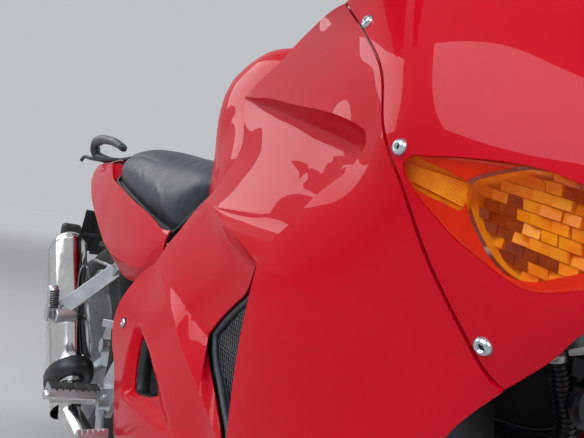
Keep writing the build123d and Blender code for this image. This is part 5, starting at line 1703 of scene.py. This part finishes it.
horn_bolts = merged(
    *[socket_screw((466, y, z), (0.9, -0.45, 0.1), 5, 3.5) for y, z in ((172, 640), (174, 626))]
)
piece("coolant_hose", merged(hose, loom, loom_two), HOSE_BLUE, "black_plastic")
piece("hose_wrap", tube_on(coil, 1.0, 6), BLACK_STEEL, "black_steel", merge=FINEST)
piece("hose_collars", collars, CAST_ALLOY, "bare_metal")
horn_obj = piece("horn", horn, HOSE_BLUE, "black_steel", smooth=False, merge=FINE)
soften(horn_obj, 1.0, 30, True)
piece("horn_bolts", horn_bolts, ZINC, "bright_steel", merge=FINE)

# Painted shade: black hexagons deep in the fairing screws' sockets, and a black washer round the rear one for
# the shadow in its recess
socket_shades = []
for x, z, size in SCREWS:
    at, normal = skin_place(x, z)
    at += normal * 0.75
    socket = size * 0.426
    # A black hexagon in the socket: painted shade
    socket_shades.append(lathe([(socket, 0), (socket - 0.2, -0.1), (0.1, -0.12)], at, normal, 6))
    if x < 0:
        # A black washer: painted shade for the recess round the rear screw
        socket_shades.append(lathe([(size + 2.6, -1.5), (size + 2.5, 0.2), (size - 1, 0.3)], at, normal, 36))
pairs(("screw_socket_shade", merged(*socket_shades), GLOSS_BLACK, "bright_steel", FACETED))

# Rear signals on the fender, the tail light's cover and the blank plate with its raised rim
SIGNAL_Z = 633
SIGNAL_SHELL = [(0.1, 21), (10, 20), (20, 15), (25, 6), (27, -4), (28, -14), (27.5, -17)]
SIGNAL_COVER = [(27, -16), (26.6, -22.5), (24.5, -25.4), (14, -27.2), (0.1, -27.6)]
TAIL_LIGHT = [(-912, 857), (-940, 856), (-968, 849), (-973, 838), (-968, 824), (-940, 818), (-908, 815)]


def rear_signal(profile, wide, high):
    """An oval turned form on each side of the fender."""
    verts, faces = lathe(profile, (-1008, 0, SIGNAL_Z), (1, 0, 0), 40)
    return both(([(x, -130 + y * wide, SIGNAL_Z + (z - SIGNAL_Z) * high) for x, y, z in verts], faces))


def tail_line(x, z, half, steps):
    """A line across the tail, its ends curved forward."""
    return [(x + 16 * (abs(s) ** 3), half * s, z) for s in np.linspace(-1, 1, steps)]


piece("rear_signal_shells", rear_signal(SIGNAL_SHELL, 1.05, 0.82), BLACK_PLASTIC, "black_plastic")
piece("rear_signal_covers", rear_signal(SIGNAL_COVER, 1.02, 0.8), AMBER_SOLID, "lens_amber")
light_grid = np.array([tail_line(x, z, 96, 41) for x, z in TAIL_LIGHT])
light_cover = thicken(sheet("tail_cover", [light_grid], RED_LENS, "lens_red", outward=(-1, 0, 0)), 2.5)
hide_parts("tail_light")
light_ribs = [box_strip(tail_line(-966, 822 + 4.2 * k, 92, 31), 1.5, 0.9) for k in range(7)]
piece("tail_ribs", merged(*light_ribs), RED_LENS, "lens_red")
PLATE_Z = 640
PLATE_TURN = Matrix.Rotation(math.radians(14), 3, "Y")
plate_form = box_mesh((-1028, 0, PLATE_Z), (1.4, 180, 140), PLATE_TURN)
soften(piece("blank_plate", plate_form, PLATE_WHITE, "bright_steel", smooth=False), 0.5)
rim_corners = [
    Vector((-1029.1, 0, PLATE_Z)) + PLATE_TURN @ Vector((0, y, z))
    for y, z in ((-86, -66), (86, -66), (86, 66), (-86, 66))
]
rim_bars = [tube_on([rim_corners[i], rim_corners[(i + 1) % 4]], 1.0, 6) for i in range(4)]
piece("plate_rim", merged(*rim_bars), PLATE_WHITE, "bright_steel")

# Wind screen screws on rubber washers, seated on the sheet


def on_screen(point):
    """The nearest place on the CAD's wind screen, with its forward normal, in millimetres."""
    place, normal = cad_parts["windscreen"].closest_point_on_mesh(Vector(point) * MM)[1:3]
    normal = normal.normalized()
    return place / MM, (-normal if normal.x < 0 else normal)


screen_heads, screen_washers = [], []
for sign in (-1, 1):
    for point in ((705, 76 * sign, 916), (688, 114 * sign, 902)):
        place, normal = on_screen(point)
        screen_heads.append(socket_screw(place + normal * 1.2, normal, 4.6, 2.8))
        screen_washers.append(lathe([(7.5, 0), (7.5, 1.0), (5.5, 1.6), (4.0, 1.6)], place, normal, 28))
piece("screen_screws", merged(*screen_heads), ZINC, "bright_steel", merge=FINE)
piece("screen_washers", merged(*screen_washers), RUBBER, "black_plastic")

# Front end: seals on the fork legs, nuts and caps, disc buttons, grips, reservoirs and their hoses
FORK_DIR = Vector((-0.43051, 0, 0.90259))
FORK_SEAL = [(20.6, 12), (26, 9), (27.2, 5), (27.2, -4), (26.2, -6)]
FORK_CAP = [(19.5, 0), (19.5, 5), (17, 7), (12, 7), (11, 9), (8.5, 9), (8, 7), (0.1, 7)]
AXLE_NUT = [(17, -1), (17, 5), (15, 7), (8, 7), (7, 3), (0.1, 3)]
POT = [(0.1, 0), (15, 0), (17, 3), (17.5, 20), (18.5, 21), (18.5, 24)]
POT_CAP = [(18.4, 24), (18.4, 28), (16.5, 29.5), (0.1, 30)]
LINE_CLAMP = [(27, -4), (28.2, -3), (28.2, 3), (27, 4)]
# Brake lines: the upper one as places, the lower one as places along the fork leg and how far off it
UPPER_LINE = [(418, 160, 1002), (440, 140, 990), (468, 118, 960), (496, 96, 905), (520, 88, 860)]
LOWER_LINE = [(392, -24, -14), (300, -29, -16), (200, -29, -18), (150, -26, -14)]


def fork_at(along, side):
    return Vector((FRONT_AXLE_X, 112 * side, FRONT_AXLE_Z)) + FORK_DIR * along


def grip(sign):
    """A rubber grip: a flange, ribs along it and a rounded end."""
    start, end = Vector((402, 186 * sign, 1008)), Vector((306, 346 * sign, 994))
    length = (end - start).length
    step = (length - 54) / 15
    profile = [(16.0, 38), (18.6, 38.5), (18.8, 42), (16.6, 44)]
    for k in range(15):
        a = 46 + step * k
        profile += [(16.7, a), (16.7, a + step * 0.62), (16.1, a + step * 0.68), (16.1, a + step * 0.94)]
    profile += [(16.8, length - 6), (16.4, length - 3), (12, length - 2.5)]
    return lathe(profile, start, (end - start).normalized(), 32)


seals, caps, axle_nuts, grips, pots, pot_caps, lines, buttons = [[] for i in range(8)]
for sign in (-1, 1):
    seals.append(lathe(FORK_SEAL, fork_at(350, sign), FORK_DIR, 40))
    caps.append(lathe(FORK_CAP, fork_at(705, sign), FORK_DIR, 32))
    axle_nuts.append(lathe(AXLE_NUT, (FRONT_AXLE_X, 142 * sign, FRONT_AXLE_Z), (0, sign, 0), 6))
    grips.append(grip(sign))
    pot_at = (432, 168 * sign, 1006)
    pots.append(lathe(POT, pot_at, (0.06, 0, 1), 32))
    pots.append(box_mesh((420, 172 * sign, 1004), (30, 12, 9), Matrix.Rotation(0.3 * sign, 3, "Z")))
    pot_caps.append(lathe(POT_CAP, pot_at, (0.06, 0, 1), 32))
    lines.append(tube([(x, y * sign, z) for x, y, z in UPPER_LINE], 3.4, 10, 8))
    lower_line = [fork_at(along, sign) + Vector((x, y * sign, 0)) for along, x, y in LOWER_LINE]
    lines.append(tube(lower_line, 3.2, 10, 8))
    lines += [lathe(LINE_CLAMP, fork_at(along, sign), FORK_DIR, 36) for along in (320, 210)]
    for a in turns(6):
        buttons.append(socket_screw(wheel_place(FRONT, 34, 80 * sign, a), (0, sign, 0), 6, 3))
for name, forms, mat, slot, look in (
    ("fork_seals", seals, RUBBER, "black_plastic", {}),
    ("fork_caps", caps, CAST_ALLOY, "bare_metal", {"smooth": False}),
    ("axle_nuts", axle_nuts, ZINC, "bright_steel", {"smooth": False}),
    ("bar_grips", grips, RUBBER, "black_plastic", {"merge": FINE}),
    ("fluid_pots", pots, BLACK_PLASTIC, "black_plastic", {"merge": FINE}),
    ("fluid_caps", pot_caps, BLACK_STEEL, "black_steel", {}),
    ("brake_lines", lines, BLACK_STEEL, "black_plastic", {"merge": FINE}),
):
    piece(name, merged(*forms), mat, slot, "steering", **look)
piece("disc_buttons", merged(*buttons), ZINC, "bright_steel", "front_wheel", merge=FINE)

# Camera
scene = bpy.context.scene
camera_data = bpy.data.cameras.new("camera")
camera_data.sensor_width = 36.0
camera_data.sensor_fit = "HORIZONTAL"
camera_data.lens = CAMERA_LENS
camera_data.clip_start = 0.01
camera = bpy.data.objects.new("camera", camera_data)
scene.collection.objects.link(camera)
columns = Matrix((CAMERA_RIGHT, CAMERA_UP, tuple(-c for c in CAMERA_FORWARD))).transposed()
camera.matrix_world = Matrix.Translation(Vector(CAMERA_AT) * MM) @ columns.to_4x4()
scene.camera = camera

# The CAD nodes' materials
NODE_MATERIALS = (
    (
        CAST_ALLOY,
        "brake_pedal filler_cap fork_legs frame front_rim passenger_pegs rear_rim rider_pegs "
        "shift_lever steering_stem swingarm",
    ),
    (
        BLACK_STEEL,
        "center_stand cowl_stay handlebars radiators rear_subframe shock_absorber side_stand "
        "side_stand_lug stand_lugs",
    ),
    (GREASY_STEEL, "chain drive_sprocket"),
    (BLACK_PLASTIC, "dash_panel hugger rear_fender"),
    (DARK_METAL, "engine front_calipers rear_caliper"),
    (BRIGHT_STEEL, "exhaust_pipe front_axle muffler"),
    (DISC_STEEL, "front_discs rear_hub"),
    (PAINT, "front_fender fuel_tank lower_cowl mirrors side_cowl_left side_cowl_right tail_cowl upper_cowl"),
    (AMBER, "front_turn_signals"),
    (RUBBER, "front_tyre rear_tyre"),
    (SLATE_PLASTIC, "grab_rail"),
    (CLEAR, "headlight"),
    (VINYL, "seat"),
    (RED_LENS, "tail_light"),
    (SCREEN, "windscreen"),
)
for mat, names in NODE_MATERIALS:
    for name in names.split():
        node_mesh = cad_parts[name].data
        node_mesh.materials.clear()
        node_mesh.materials.append(mat)

# Floor, backdrop light and lamps


def seen_rays(tree):
    """1 for rays from the camera, off gloss or through glass: all of them see the same pale ground."""
    rays = tree.nodes.new("ShaderNodeLightPath")
    total = rays.outputs["Is Camera Ray"]
    for kind in ("Is Glossy Ray", "Is Transmission Ray"):
        add = tree.nodes.new("ShaderNodeMath")
        tree.links.new(total, add.inputs[0])
        tree.links.new(rays.outputs[kind], add.inputs[1])
        total = add.outputs[0]
    return total


# The backdrop: the ground turns from lit floor to an even glow between these distances in metres
GLOW_FROM = 2.0
GLOW_TO = 12.0
BACKDROP = (0.9, 0.93, 0.97, 1.0)
floor_mat = surface("pale_floor", (0.56, 0.56, 0.56), (0.60, 0.60, 0.60), (0.6, 0.8), scale=3.0)
floor_tree = floor_mat.node_tree
floor_bsdf = floor_tree.nodes["Principled BSDF"]
place = floor_tree.nodes.new("ShaderNodeNewGeometry")
reach = floor_tree.nodes.new("ShaderNodeVectorMath")
reach.operation = "LENGTH"
floor_tree.links.new(place.outputs["Position"], reach.inputs[0])
far_glow = floor_tree.nodes.new("ShaderNodeMapRange")
far_glow.interpolation_type = "SMOOTHSTEP"
put(far_glow, From_Min=GLOW_FROM, From_Max=GLOW_TO, To_Min=0.0, To_Max=0.33)
floor_tree.links.new(reach.outputs["Value"], far_glow.inputs["Value"])
glow = floor_tree.nodes.new("ShaderNodeMath")
glow.operation = "MULTIPLY"
floor_tree.links.new(far_glow.outputs["Result"], glow.inputs[0])
floor_tree.links.new(seen_rays(floor_tree), glow.inputs[1])
put(floor_bsdf, Emission_Color=BACKDROP)
floor_tree.links.new(glow.outputs[0], floor_bsdf.inputs["Emission Strength"])
floor_mesh = bpy.data.meshes.new("floor")
FLOOR_REACH = 30.0
corners = [(x * FLOOR_REACH, y * FLOOR_REACH, 0) for x, y in ((-1, -1), (1, -1), (1, 1), (-1, 1))]
floor_mesh.from_pydata(corners, [], [(0, 1, 2, 3)])
floor_obj = bpy.data.objects.new("floor", floor_mesh)
floor_obj.data.materials.append(floor_mat)
scene.collection.objects.link(floor_obj)

world = bpy.data.worlds.new("studio")
scene.world = world
world.use_nodes = True
tree = world.node_tree
background = tree.nodes["Background"]
put(background, Color=BACKDROP)
level = tree.nodes.new("ShaderNodeMath")
level.operation = "MULTIPLY_ADD"
level.inputs[1].default_value = 0.22
level.inputs[2].default_value = 0.36
tree.links.new(seen_rays(tree), level.inputs[0])
tree.links.new(level.outputs[0], background.inputs["Strength"])


def lamp(name, at, aim, size, power, colour=(1.0, 1.0, 1.0)):
    data = bpy.data.lights.new(name, "AREA")
    data.shape = "RECTANGLE"
    data.size, data.size_y = size
    data.energy = power
    data.color = colour
    obj = bpy.data.objects.new(name, data)
    scene.collection.objects.link(obj)
    obj.location = at
    obj.rotation_euler = (Vector(aim) - Vector(at)).to_track_quat("-Z", "Y").to_euler()


lamp("key", (0.46, -2.3, 2.23), (0.53, -0.25, 0.8), (2.3, 1.6), 52.0, (0.80, 0.89, 1.0))
lamp("front", (3.2, -0.9, 2.2), (0.3, -0.1, 0.6), (1.6, 1.6), 34.0)
lamp("rear", (-3.0, -1.8, 2.4), (-0.5, 0.0, 0.6), (1.8, 1.8), 34.0)
lamp("far_side", (0.2, 3.0, 2.6), (0.0, 0.0, 0.7), (2.5, 1.5), 50.0)

scene.view_settings.view_transform = "Standard"
